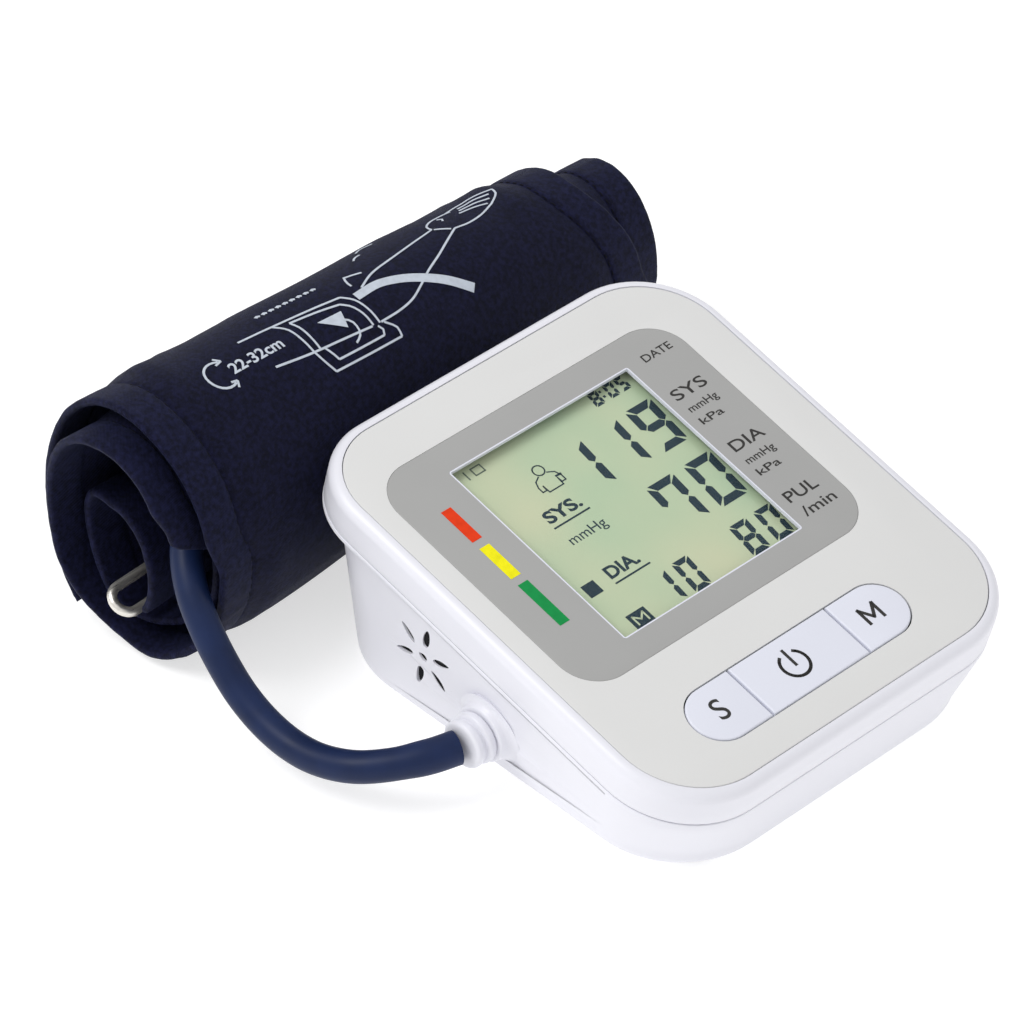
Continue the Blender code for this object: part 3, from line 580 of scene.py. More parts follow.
def make_rim():
    """White upper shell: rounded rim, skirt and the pocket that the face plate lies in."""
    rings = [face_ring(WALL, SKIRT_DEPTH - 0.2), face_ring(WALL - 0.2, SKIRT_DEPTH),
             face_ring(0.25, SKIRT_DEPTH),
             face_ring(0.07, SKIRT_DEPTH - 0.07), face_ring(0.0, SKIRT_DEPTH - 0.25), face_ring(0.0, 5.5),
             face_ring(0.0, RIM_ROUND + 0.4)]
    for step in range(9):
        angle = math.radians(90 * step / 8)
        rings.append(face_ring(RIM_ROUND * (1 - math.cos(angle)), RIM_ROUND * (1 - math.sin(angle))))
    lip = POCKET_INSET - 0.02
    rings += [face_ring(lip, 0.02), face_ring(POCKET_INSET, 0.10), face_ring(POCKET_INSET, POCKET_DEPTH),
              face_ring(9.0, POCKET_DEPTH), face_ring(9.0, POCKET_DEPTH + WALL),
              face_ring(WALL + 1.5, POCKET_DEPTH + WALL),
              face_ring(WALL, 5.0)]
    bm = bmesh.new()
    skin(bm, rings, around=True)
    return piece("upper_housing", bm, "housing", "monitor", ["upper_shell"],
                 FACE_FRAME, 50)


def base_ring(inset, z):
    return [Vector((x, y + BASE_MID_Y, z)) for x, y in outline(BASE_HALF, BASE_RADII, inset)]


def stepped_ring(inset, depth):
    """Face ring that steps in under the skirt, fully at the back and not at all at the front."""
    ring = []
    for near, far in zip(face_ring(inset, depth), face_ring(inset + STEP_INSET, depth)):
        share = smoothstep((near[1] - 2.0) / 34.0)
        ring.append(face_to_base(Vector(near).lerp(Vector(far), share)))
    return ring


def make_base():
    """White lower shell with the parting line, speaker flower, hose port, foot recesses and doorway."""
    lip = SKIRT_DEPTH + 0.3
    top = [face_to_base(p) for p in face_ring(0.15, lip)]
    lip_top = [face_to_base(p) for p in face_ring(0.0, lip + 0.15)]
    lip_low = [face_to_base(p) for p in face_ring(0.0, lip + 0.85)]
    wall = stepped_ring(0.0, lip + 1.35)
    foot = base_ring(0.0, BASE_Z + BASE_ROUND)
    rings = [top, lip_top, lip_low, wall]
    for share in (0.2, 0.4, 0.6, 0.8, 1.0):
        rings.append([a.lerp(b, share) for a, b in zip(wall, foot)])
    for step in range(1, 7):
        angle = math.radians(90 * step / 6)
        rings.append(base_ring(BASE_ROUND * (1 - math.cos(angle)),
                               BASE_Z + BASE_ROUND * (1 - math.sin(angle))))
    inner = [base_ring(BASE_ROUND, FLOOR_TOP), base_ring(WALL, BASE_Z + BASE_ROUND + 1.5),
             stepped_ring(WALL, lip + 1.35), stepped_ring(WALL, lip)]
    bm = bmesh.new()
    outer_rows = skin(bm, rings)
    inner_rows = skin(bm, inner)
    bm.faces.new(outer_rows[-1])
    bm.faces.new(inner_rows[0])
    for i in range(len(outer_rows[0])):
        j = (i + 1) % len(outer_rows[0])
        bm.faces.new((outer_rows[0][i], outer_rows[0][j], inner_rows[-1][j], inner_rows[-1][i]))
    base = piece("lower_housing", bm, "housing", "monitor", ["lower_shell"])
    cut(base, speaker_petals() + base_cutters())
    base.data.transform(BASE_FRAME)
    base.data.shade_smooth()
    base.data.set_sharp_from_angle(angle=math.radians(30))
    return base


def speaker_petals():
    """Six petals round a small centre, lined up with the slope of the face."""
    made = []
    for index in range(6):
        angle = FACE_TILT + math.radians(90 + 60 * index)
        width = 1.0 if index % 3 == 0 else 0.75
        made.append(petal(6.0, angle, (2.6, width)))
    made.append(petal(0.0, FACE_TILT, (1.25, 0.9)))
    return made


def petal(reach, angle, half):
    """Pointed-oval prism through the left wall."""
    cos, sin = math.cos(angle), math.sin(angle)
    rings = []
    for x in (-56.0, -44.0):
        ring = []
        for step in range(20):
            turn = 2 * math.pi * step / 20
            along = half[0] * math.cos(turn)
            aside = half[1] * math.sin(turn) * (1 - 0.25 * math.cos(turn))
            y = SPEAKER_AT[0] + (reach + along) * cos - aside * sin
            z = SPEAKER_AT[1] + (reach + along) * sin + aside * cos
            ring.append((x, y, z))
        rings.append(ring)
    return capped(rings)


def prism(x_low, x_high, y_low, y_high, z_low, z_high):
    corners = ((x_low, y_low), (x_high, y_low), (x_high, y_high), (x_low, y_high))
    return capped([[(x, y, z) for x, y in corners] for z in (z_low, z_high)])


def drum(x, y, z_low, z_high, radius, steps=40):
    ring = [(x + radius * math.cos(2 * math.pi * i / steps), y + radius * math.sin(2 * math.pi * i / steps))
            for i in range(steps)]
    return capped([[(px, py, z) for px, py in ring] for z in (z_low, z_high)])


def base_cutters():
    made = [drum(x, y, -1.0, BASE_Z + 0.9, 4.8) for x, y in FEET]
    made += [drum(x, y, -1.0, BASE_Z + 3.0, 3.0) for x, y in SCREWS]
    made.append(prism(-DOOR_HALF_X - 0.3, DOOR_HALF_X + 0.3, DOOR_FRONT_Y - 0.3, 80, -2, FLOOR_TOP + 1.0))
    port = []
    for x in (-60.0, -40.0):
        port.append([(x, PORT_AT[0] + 6.8 * math.cos(2 * math.pi * i / 48),
                      PORT_AT[1] + 6.8 * math.sin(2 * math.pi * i / 48)) for i in range(48)])
    made.append(capped(port))
    return made


def make_face_plate():
    """Pale grey plate inside the rim, cut out for the panel and the keys."""
    half = [h - POCKET_INSET - 0.2 for h in FACE_HALF]
    radii = [r - POCKET_INSET - 0.2 for r in FACE_RADII]
    bm = plate_with_round_edge(lambda inset: outline(half, radii, inset), 0.05, 0.9, 0.2)
    plate = piece("face_panel", bm, "plate", "monitor", ["face_plate"])
    panel = capped([lifted(outline(LENS_HALF, (LENS_RADIUS + 0.2,) * 4, -0.06), d, LENS_MID)
                    for d in (-3, 3)])
    keys = capped([lifted(stadium((KEY_HALF[0] + 0.3, KEY_HALF[1] + 0.3)), d, KEY_MID) for d in (-3, 3)])
    cut(plate, [panel, keys])
    plate.data.transform(FACE_FRAME)
    plate.data.shade_smooth()
    plate.data.set_sharp_from_angle(angle=math.radians(30))


def make_lens():
    """Grey panel round the display, with a thin bright lip at the opening."""
    bm = plate_with_round_edge(lambda inset: outline(LENS_HALF, (LENS_RADIUS + 0.2,) * 4, inset),
                               0.0, 0.9, 0.15,
                               LENS_MID)
    lens = piece("display_surround", bm, "panel", "monitor", ["lens_frame"])
    hole = capped([lifted(outline(LCD_VIEW, (0.5,) * 4, 0.0, 4), d, LCD_MID) for d in (-3, 3)])
    cut(lens, [hole])
    lens.data.transform(FACE_FRAME)
    lens.data.shade_smooth()
    lens.data.set_sharp_from_angle(angle=math.radians(30))
    rings = []
    for inset, depth in ((0.0, 0.85), (0.0, -0.03), (0.32, -0.03), (0.32, 0.85)):
        rings.append(lifted(outline(LCD_VIEW, (0.6,) * 4, inset, 4), depth, LCD_MID))
    bm = bmesh.new()
    skin(bm, rings, around=True)
    piece("display_lip", bm, "key", "monitor", (), FACE_FRAME)


def make_key_well():
    """Dark sheet under the gaps round the keys: painted shade, so that the gaps read dark."""
    rings = [lifted(stadium((KEY_HALF[0] + 1.0, KEY_HALF[1] + 1.0)), d, KEY_MID) for d in (5.5, 5.75)]
    piece("key_well", capped(rings), "dark", "monitor", (), FACE_FRAME)


def make_keys():
    """Three slightly crowned keys in one strip; their marks are made with the face marks."""
    gap = 0.27
    outer = KEY_HALF[0] - KEY_SPLIT - gap
    plans = (("set", KEY_MID[0] - KEY_SPLIT - gap - outer / 2, outer / 2, (False, True)),
             ("power", KEY_MID[0], KEY_SPLIT - gap, (False, False)),
             ("memory", KEY_MID[0] + KEY_SPLIT + gap + outer / 2, outer / 2, (True, False)))
    for name, mid, half, ends in plans:
        rings = [lifted(stadium((half, KEY_HALF[1]), ends), 4.6, (mid, KEY_MID[1])),
                 lifted(stadium((half, KEY_HALF[1]), ends), 0.3, (mid, KEY_MID[1]))]
        for step in range(1, 6):
            angle = math.radians(90 * step / 5)
            inset = 0.45 * (1 - math.cos(angle))
            rings.append(lifted(stadium((half, KEY_HALF[1]), ends, inset), 0.3 - 0.45 * math.sin(angle),
                                (mid, KEY_MID[1])))
        piece(f"key_{name}", capped(rings), "key", f"{name}_key",
              [f"button_{name}"], FACE_FRAME, 50)


# ---------------------------------------------------------------- hose fittings

def make_port():
    """Collar that swells out of the left wall, and the plug with its two grip rings."""
    x0 = PLUG_X
    shape = ((0.0, 8.6), (0.10, 7.7), (0.28, 7.05), (0.55, 6.7), (0.85, 6.55),
             (0.95, 6.4), (1.0, 6.1), (1.0, 3.5))
    rings = []
    for out, radius in shape:
        ring = []
        for i in range(64):
            y = PORT_AT[0] + radius * math.cos(2 * math.pi * i / 64)
            z = PORT_AT[1] + radius * math.sin(2 * math.pi * i / 64)
            wall = x0 + 3.25 - 0.18 * (z - PORT_AT[1])
            ring.append((wall + (x0 + 0.25 - wall) * out, y, z))
        rings.append(ring)
    for x, radius in ((x0 + 1.0, 3.2), (x0 + 9.0, 3.2), (x0 + 9.0, 6.6), (x0 + 6.0, 6.6)):
        rings.append([(x, PORT_AT[0] + radius * math.cos(2 * math.pi * i / 64),
                       PORT_AT[1] + radius * math.sin(2 * math.pi * i / 64)) for i in range(64)])
    bm = bmesh.new()
    skin(bm, rings, around=True)
    piece("hose_port", bm, "housing", "monitor", ["hose_socket"], BASE_FRAME, 40)
    # Dark disk just inside the wall behind the speaker petals: painted shade, so that the holes read dark.
    hole_shade = []
    for x in (-48.4, -48.1):
        turns = [2 * math.pi * i / 40 for i in range(40)]
        offsets = [(9.4 * math.cos(turn), 9.4 * math.sin(turn)) for turn in turns]
        hole_shade.append([(x + 0.066 * y - 0.074 * z, SPEAKER_AT[0] + y, SPEAKER_AT[1] + z) for y, z in offsets])
    piece("speaker_hole_shade", capped(hole_shade), "hook", "monitor", (), BASE_FRAME)
    plug = [(x0 + 11.0, 0.0), (x0 + 11.0, 2.2), (x0 + 10.2, 2.8), (x0, 2.9), (x0, 5.2), (x0 - 0.15, 5.6),
            (x0 - 0.45, 5.8), (x0 - 1.5, 5.8), (x0 - 1.8, 5.65), (x0 - 2.0, 5.3), (x0 - 2.15, 4.85),
            (x0 - 2.7, 4.85), (x0 - 2.85, 5.1), (x0 - 3.1, 5.35), (x0 - 3.4, 5.45), (x0 - 4.3, 5.45),
            (x0 - 4.6, 5.3), (x0 - 4.85, 4.9), (x0 - 4.9, 4.4), (x0 - 4.9, 0.0)]
    bm = lathe(plug, 72)
    at = BASE_FRAME @ Matrix.Translation((0, PORT_AT[0] * MM, PORT_AT[1] * MM))
    piece("plug_body", bm, "housing", "cuff", ["hose_plug"], at, 40)


def smooth_points(points, count):
    """Evenly spread points on a Catmull-Rom curve through the given ones."""
    ends = [2 * points[0] - points[1]] + list(points) + [2 * points[-1] - points[-2]]
    fine = []
    for a, b, c, d in zip(ends, ends[1:], ends[2:], ends[3:]):
        for step in range(24):
            t = step / 24
            fine.append(0.5 * (2 * b + (c - a) * t + (2 * a - 5 * b + 4 * c - d) * t ** 2
                               + (3 * b - a - 3 * c + d) * t ** 3))
    fine.append(Vector(points[-1]))
    run = [0.0]
    for a, b in zip(fine, fine[1:]):
        run.append(run[-1] + (b - a).length)
    spread = []
    k = 0
    for index in range(count):
        want = run[-1] * index / (count - 1)
        while k < len(fine) - 2 and run[k + 1] < want:
            k += 1
        share = (want - run[k]) / max(run[k + 1] - run[k], 1e-12)
        spread.append(fine[k].lerp(fine[k + 1], min(max(share, 0.0), 1.0)))
    return spread


def tube_mesh(points, radii, steps=28):
    """Round tube along points in metres, with a radius at each; the section is carried without twist."""
    rings = []
    side = None
    for index, point in enumerate(points):
        before, after = points[max(index - 1, 0)], points[min(index + 1, len(points) - 1)]
        along = (after - before).normalized()
        if side is None:
            side = along.cross(Vector((0, 0, 1))).normalized()
        side = (side - along * side.dot(along)).normalized()
        other = along.cross(side)
        radius = radii[index]
        rings.append([(point + side * radius * math.cos(2 * math.pi * i / steps)
                       + other * radius * math.sin(2 * math.pi * i / steps)) / MM for i in range(steps)])
    return capped(rings)


def make_hose():
    """Rubber hose, a little fatter where it is pushed over the plug's barb."""
    points = smooth_points([Vector(p) for p in HOSE_ROUTE], 160)
    run, radii = 0.0, []
    for index, point in enumerate(points):
        run += (point - points[index - 1]).length if index else 0.0
        swell = 1 - smoothstep((run - 0.007) / 0.006)
        radii.append(HOSE_DIAMETER / 2 * (1 + 0.07 * swell))
    hose = piece("rubber_hose", tube_mesh(points, radii), "hose", "cuff",
                 ["air_hose"], WORLD, 50)


# ---------------------------------------------------------------- cuff

def cuff_mid(theta):
    """Middle of the rolled band at an angle in degrees, at the near end, relative to the roll's centre."""
    inward = CUFF_PITCH * (CUFF_LAST - theta) / 360
    a = CUFF_HALF[0] - CUFF_BAND / 2 - inward
    b = CUFF_HALF[1] - CUFF_BAND / 2 - inward
    loose = smoothstep((230 - theta) / 140)
    a += (CORE_HALF[0] - a) * loose
    b += (CORE_HALF[1] - b) * loose
    angle = math.radians(theta)
    return Vector((CORE_SHIFT[0] * loose - a * math.cos(angle), CORE_SHIFT[1] * loose + b * math.sin(angle)))


def cuff_edges(theta):
    """Near and far edge of the band at an angle, read from the laps with soft steps between them."""
    for (start, *low), (stop, *high) in zip(CUFF_LAPS, CUFF_LAPS[1:]):
        if theta <= stop:
            part = smoothstep((theta - start) / (stop - start))
            return [a + (b - a) * part for a, b in zip(low, high)]
    return CUFF_LAPS[-1][1:]


def cuff_point(theta, x, offset):
    """Point of the roll at an angle and a place along it, offset outwards from the band's middle."""
    along = (cuff_mid(theta + 1) - cuff_mid(theta - 1)).normalized()
    flat = cuff_mid(theta) + offset * Vector((-along.y, along.x))
    way = (x - CUFF_NEAR.x) / (CUFF_FAR.x - CUFF_NEAR.x)
    mid = CUFF_NEAR.lerp(CUFF_FAR, way)
    wide = 1 + (CUFF_FAR_SCALE[0] - 1) * way
    tall = 1 + (CUFF_FAR_SCALE[1] - 1) * way
    return Vector((x, mid.y + flat.x * wide, mid.z + flat.y * tall))


def cuff_run():
    """Distance along the band's middle at each whole degree from its inner end."""
    runs = [0.0]
    for degree in range(int(CUFF_START), int(CUFF_LAST)):
        runs.append(runs[-1] + (cuff_mid(degree + 1) - cuff_mid(degree)).length)
    return runs


CUFF_RUN = cuff_run()


def run_at(theta):
    place = min(max(theta - CUFF_START, 0.0), len(CUFF_RUN) - 1.001)
    low = int(place)
    return CUFF_RUN[low] + (CUFF_RUN[low + 1] - CUFF_RUN[low]) * (place - low)


FLAT_STEP = 4.5                  # grid of the flat band that is inflated
FLAT_WIDTH = 150.0


def inflate_band():
    """Blow up the flat band between its held hems, and return the relief of its outer and inner side."""
    along = int(CUFF_RUN[-1] / FLAT_STEP) + 1
    across = int(FLAT_WIDTH / FLAT_STEP) + 1
    bm = bmesh.new()
    sides = []
    for z in (0.8, -0.8):
        sides.append([[bm.verts.new((i * FLAT_STEP * MM, j * FLAT_STEP * MM, z * MM)) for j in range(across)]
                      for i in range(along)])
    for side, way in zip(sides, (1, -1)):
        for i in range(along - 1):
            for j in range(across - 1):
                bm.faces.new((side[i][j], side[i + 1][j], side[i + 1][j + 1], side[i][j + 1])[::way])
    rims = [[side[i][0] for i in range(along)] + [side[-1][j] for j in range(1, across)]
            + [side[i][-1] for i in range(along - 2, -1, -1)] + [side[0][j] for j in range(across - 2, 0, -1)]
            for side in sides]
    for k in range(len(rims[0])):
        n = (k + 1) % len(rims[0])
        bm.faces.new((rims[0][k], rims[1][k], rims[1][n], rims[0][n]))
    bmesh.ops.recalc_face_normals(bm, faces=bm.faces)
    mesh = bpy.data.meshes.new("flat_band")
    bm.verts.index_update()
    bm.to_mesh(mesh)
    bm.free()
    band = bpy.data.objects.new("flat_band", mesh)
    SCENE.collection.objects.link(band)
    held = band.vertex_groups.new(name="hems")
    for index in range(2 * along * across):
        i, j = divmod(index % (along * across), across)
        inward = min(i, j, along - 1 - i, across - 1 - j) * FLAT_STEP
        if inward <= HEM:
            held.add([index], 1.0, "REPLACE")
    cloth = band.modifiers.new("inflate", "CLOTH")
    settings = cloth.settings
    settings.quality = 5
    settings.mass = 0.3
    settings.tension_stiffness = settings.compression_stiffness = 20.0
    settings.bending_stiffness = 0.15
    settings.shrink_min = -0.05
    settings.use_pressure = True
    settings.uniform_pressure_force = 2.0
    settings.vertex_group_mass = "hems"
    settings.effector_weights.gravity = 0.0
    cloth.collision_settings.use_collision = False
    cloth.point_cache.frame_start = 1
    cloth.point_cache.frame_end = 14
    for moment in range(1, 15):
        SCENE.frame_set(moment)
    graph = bpy.context.evaluated_depsgraph_get()
    blown = band.evaluated_get(graph).to_mesh()
    heights = np.array([v.co.z for v in blown.vertices]).reshape(2, along, across) / MM
    band.evaluated_get(graph).to_mesh_clear()
    bpy.data.objects.remove(band, do_unlink=True)
    SCENE.frame_set(1)
    relief = []
    for side in (heights[0], -heights[1]):
        rest = side - side.mean(axis=0, keepdims=True)
        relief.append(np.clip(rest / max(float(rest[3:-3].std()), 1e-6), -2.2, 2.2))
    return relief


def relief_at(side, run, share):
    """Read the inflated band's relief between its grid points."""
    table = RELIEF[side]
    i = min(max(run / FLAT_STEP, 0.0), table.shape[0] - 1.001)
    j = min(max(share, 0.0), 0.9999) * (table.shape[1] - 1)
    a, b = int(i), int(j)
    p, q = i - a, j - b
    near = table[a, b] * (1 - q) + table[a, b + 1] * q
    far = table[a + 1, b] * (1 - q) + table[a + 1, b + 1] * q
    return float(near * (1 - p) + far * p)


def cloth_height(theta, across, from_edge):
    """Outer and inner surface of the padded band, offset from its middle."""
    run = run_at(theta)
    end = min(run, CUFF_RUN[-1] - run)
    inward = min(from_edge, end)
    edge = min(max(inward, 0.0) / 0.7, 1.0)
    round_edge = math.sqrt(max(1 - (1 - edge) ** 2, 0.0))
    puff = smoothstep((inward - HEM) / 7.0)
    stitch = math.exp(-((inward - HEM) / 0.5) ** 2)
    fold = noise.noise(Vector((run * 0.030, across * 0.018, 3.0)))
    crease = noise.noise(Vector((run * 0.09, across * 0.03, 9.0)))
    pucker = noise.noise(Vector((run * 0.35, across * 0.12, 5.0)))
    wave = 0.42 * fold * (0.5 + 0.5 * puff) + 0.34 * crease * puff + 0.20 * pucker * (1 - puff)
    tape = 0.22 * smoothstep((HEM + 0.3 - inward) / 0.5)
    top = 0.10 + (0.62 + tape) * round_edge + 1.25 * puff - 0.55 * stitch
    low = 0.10 + (0.55 + tape) * round_edge + 1.20 * puff - 0.20 * stitch
    if RELIEF:
        near, far = cuff_edges(theta)
        share = (across - near) / (far - near)
        top += 0.36 * puff * relief_at(0, run, share)
        low += 0.18 * puff * relief_at(1, run, share)
    return top + wave, wave - low


def columns(theta):
    """Places along the roll where the band is cut, closer together at the two hems."""
    near, far = cuff_edges(theta)
    inside = (0.0, 0.2, 0.7, 1.6, 3.2, 5.2, 7.2, 8.6, 9.1, 9.4, 9.7, 10.2, 11.2, 12.6, 14.4, 16.4, 19.0)
    made = [(near + d, d) for d in inside]
    inner_near, inner_far = near + inside[-1], far - inside[-1]
    for step in range(1, 34):
        x = inner_near + (inner_far - inner_near) * step / 34
        made.append((x, min(x - near, far - x)))
    return made + [(far - d, d) for d in reversed(inside)]


def make_cuff():
    """The rolled cuff as one padded band with sewn hems, mapped from its flat pattern onto the roll."""
    bm = bmesh.new()
    marks = bm.verts.layers.float_vector.new("cloth")
    rows = []
    count = 396
    for index in range(count + 1):
        theta = CUFF_START + (CUFF_LAST - CUFF_START) * index / count
        outer, inner = [], []
        for x, from_edge in columns(theta):
            top, low = cloth_height(theta, x, from_edge)
            run = run_at(theta)
            inward = min(from_edge, run, CUFF_RUN[-1] - run)
            for heights, height in ((outer, top), (inner, low)):
                vert = bm.verts.new(cuff_point(theta, x, height))
                vert[marks] = (run, x, inward)
                heights.append(vert)
        rows.append(outer + inner[::-1])
    for low, high in zip(rows, rows[1:]):
        for i in range(len(low)):
            j = (i + 1) % len(low)
            bm.faces.new((low[i], low[j], high[j], high[i]))
    for row in (rows[0], rows[-1]):
        half = len(row) // 2
        for i in range(half - 1):
            bm.faces.new((row[i], row[i + 1], row[-2 - i], row[-1 - i]))
    cuff = piece("rolled_cuff", bm, "cloth", "cuff",
                 ["cuff_outer_cloth", "cuff_lining", "air_bladder"],
                 WORLD, 75)
    return cuff


def theta_at(run):
    """Angle at which the band's middle has run that far."""
    low, high = CUFF_START, CUFF_LAST
    for _ in range(30):
        mid = (low + high) / 2
        low, high = (mid, high) if run_at(mid) < run else (low, mid)
    return low


def on_cloth(x, up, lift):
    """Point on the outer turn: across the cuff, and up round it from the middle of its front."""
    theta = theta_at(run_at(720) + up)
    near, far = cuff_edges(theta)
    return cuff_point(theta, x, cloth_height(theta, x, min(x - near, far - x))[0] + lift)


def ribbon(bm, points, widths, across=2):
    """Printed line on the cloth through points of (x, up), as a thin closed strip."""
    path = smooth_points([Vector((x, up, 0)) for x, up in points], max(int(line_length(points) / 0.9), 3))
    rings = []
    for index, point in enumerate(path):
        along = (path[min(index + 1, len(path) - 1)] - path[max(index - 1, 0)]).normalized()
        aside = Vector((-along.y, along.x, 0))
        share = index / (len(path) - 1)
        half = (widths[0] + (widths[1] - widths[0]) * share) / 2
        places = [point + aside * half * (2 * k / across - 1) for k in range(across + 1)]
        rings.append([on_cloth(p.x, p.y, 0.02) for p in places]
                     + [on_cloth(p.x, p.y, 0.10) for p in places[::-1]])
    rows = skin(bm, rings)
    bm.faces.new(rows[0])
    bm.faces.new(rows[-1])


def line_length(points):
    return sum((Vector(b) - Vector(a)).length for a, b in zip(points, points[1:]))


PRINT_LINES = (
    # arm, seen through the band
    ((-40.5, 36.6), (-31.2, 35.5), (-22.0, 34.8), (-12.9, 34.1)),
    ((-10.2, 34.0), (-4.2, 34.2), (0.6, 35.0), (4.9, 36.8), (9.5, 39.0), (15.3, 41.3), (24.3, 45.5)),
    ((-42.7, 46.0), (-34.3, 45.4), (-23.8, 44.5), (-14.2, 43.4)),
    ((-7.9, 43.0), (-2.2, 45.2), (6.5, 46.7), (20.2, 48.9)),
    # band round the arm
    ((-33.4, 45.4), (-31.0, 42.7), (-30.2, 38.8), (-29.8, 35.4)),
    ((-29.2, 43.9), (-28.3, 41.6), (-28.0, 38.4), (-27.9, 35.2)),
    ((-14.2, 43.4), (-11.9, 41.0), (-10.8, 37.4), (-10.6, 34.0)),
    ((-15.9, 41.9), (-13.9, 40.1), (-12.7, 37.2), (-12.5, 34.2)),
    ((-29.2, 43.9), (-22.0, 43.0), (-15.9, 41.9)),
    # free end of the band
    ((-29.8, 35.4), (-28.8, 32.4), (-27.6, 29.6)), ((-27.6, 29.6), (-17.5, 29.3), (-7.5, 29.1)),
    ((-7.5, 29.1), (-7.4, 31.4), (-9.6, 33.7)), ((-26.8, 35.0), (-25.9, 33.2), (-25.3, 31.5)),
    ((-25.3, 31.5), (-18.4, 31.3), (-11.5, 31.2)), ((-11.5, 31.2), (-10.9, 32.3), (-11.6, 33.6)),
    # tail of the turning arrow
    ((-18.0, 38.4), (-16.6, 37.2), (-16.4, 35.0), (-17.2, 33.6), (-19.0, 32.7)),
    # hand
    ((20.2, 48.9), (20.4, 50.8), (22.8, 52.4), (26.2, 52.9), (29.5, 52.6)),
    ((24.6, 51.9), (25.6, 50.9), (24.9, 50.1)), ((20.5, 48.5), (22.1, 47.2), (23.5, 45.9)),
    ((28.0, 52.8), (33.0, 53.8), (38.0, 53.7), (42.6, 51.9)), ((42.6, 51.9), (41.6, 49.6), (38.0, 47.4)),
    ((38.0, 47.4), (33.0, 45.6), (28.4, 45.0), (24.3, 45.5)), ((31.5, 52.2), (36.4, 52.4), (40.6, 51.0)),
    ((30.9, 51.0), (35.4, 50.9), (39.4, 49.5)), ((30.0, 49.9), (34.2, 49.4), (37.6, 48.2)),
    # place of the tube's outlet
    ((-8.6, 48.0), (-6.4, 47.5), (-4.0, 46.8)), ((-8.3, 48.0), (-9.2, 46.4), (-9.4, 44.6)),
    ((3.0, 56.2), (5.4, 57.4), (8.6, 56.8)), ((-1.0, 52.4), (0.4, 53.6), (2.2, 53.9)),
)


def make_print():
    """Line drawing of a cuff on an arm, with its size range, printed on the outer turn."""
    bm = bmesh.new()
    for points in PRINT_LINES:
        ribbon(bm, points, (0.50, 0.50))
    ribbon(bm, ((-11.0, 41.6), (-4.7, 41.9), (-0.2, 41.0), (3.8, 39.5), (8.1, 37.2), (12.1, 34.5),
                (16.9, 30.3)),
           (2.0, 2.4), 4)
    ribbon(bm, ((-23.9, 40.6), (-20.8, 39.5), (-17.7, 38.4)), (0.1, 4.2), 4)
    turn = [(-52.7 + 3.6 * math.cos(math.radians(a)), 41.1 + 3.6 * math.sin(math.radians(a)))
            for a in range(55, 296, 20)]
    ribbon(bm, turn, (0.55, 0.55))
    heads = (((-49.9, 43.9), (-51.0, 45.4), (-51.8, 43.5)), ((-50.6, 38.1), (-52.2, 38.4), (-51.4, 36.7)))
    for tip, left, right in heads:
        ribbon(bm, (left, tip), (0.5, 0.5))
        ribbon(bm, (right, tip), (0.5, 0.5))
    for index in range(9):
        x = -33.0 + 2.0 * index
        ribbon(bm, ((x, 50.3 - 0.12 * index), (x + 0.6, 50.6 - 0.12 * index), (x + 1.2, 50.2 - 0.12 * index)),
               (0.9, 0.7))
    piece("cuff_drawing", bm, "cloth_print", "cuff")
    size = lettering("cuff_size", "22-32cm", (-42.4, 40.9), 2.6, "cloth_print", 0.0, 15.2, 0.02, "cuff")
    back = FACE_FRAME.inverted()
    for vert in size.data.vertices:
        x, up, lift = back @ vert.co / MM
        vert.co = on_cloth(x, up, 0.03 + 2.0 * lift) * MM


def make_stitches():
    """Sewn line along both hems, thread by thread, on the outside of the band."""
    bm = bmesh.new()
    run = 3.0
    while run < CUFF_RUN[-1] - 5.0:
        for side in (0, 1):
            rings = []
            for step in range(5):
                share = step / 4
                theta = theta_at(run + 1.9 * share)
                x = cuff_edges(theta)[side] + (HEM - 0.25, 0.25 - HEM)[side]
                radius = 0.06 + 0.13 * math.sin(math.pi * share)
                height = cloth_height(theta, x, HEM - 0.25)[0] - 0.12 + 0.17 * math.sin(math.pi * share)
                rings.append([cuff_point(theta, x + radius * math.cos(math.pi * i / 3),
                                         height + radius * math.sin(math.pi * i / 3)) for i in range(6)])
            rows = skin(bm, rings)
            bm.faces.new(rows[0])
            bm.faces.new(rows[-1])
        run += 2.7
    piece("hem_stitches", bm, "thread", "cuff", (), WORLD, 80)


def make_hook_strip():
    """Hook tape on the outer turn at the back."""
    rings = []
    for index in range(31):
        theta = CUFF_LAST - 75 + 60 * index / 30
        near, far = cuff_edges(theta)
        low, high = near + 0.15 * (far - near), near + 0.85 * (far - near)
        ring = []
        for offset, shares in ((CUFF_BAND / 2 + 0.45, range(0, 21)),
                               (CUFF_BAND / 2 + 1.15, range(20, -1, -1))):
            for share in shares:
                ring.append(cuff_point(theta, low + (high - low) * share / 20, offset))
        rings.append(ring)
    piece("hook_tape", capped(rings), "hook", "cuff", ["hook_strip"], WORLD, 40)


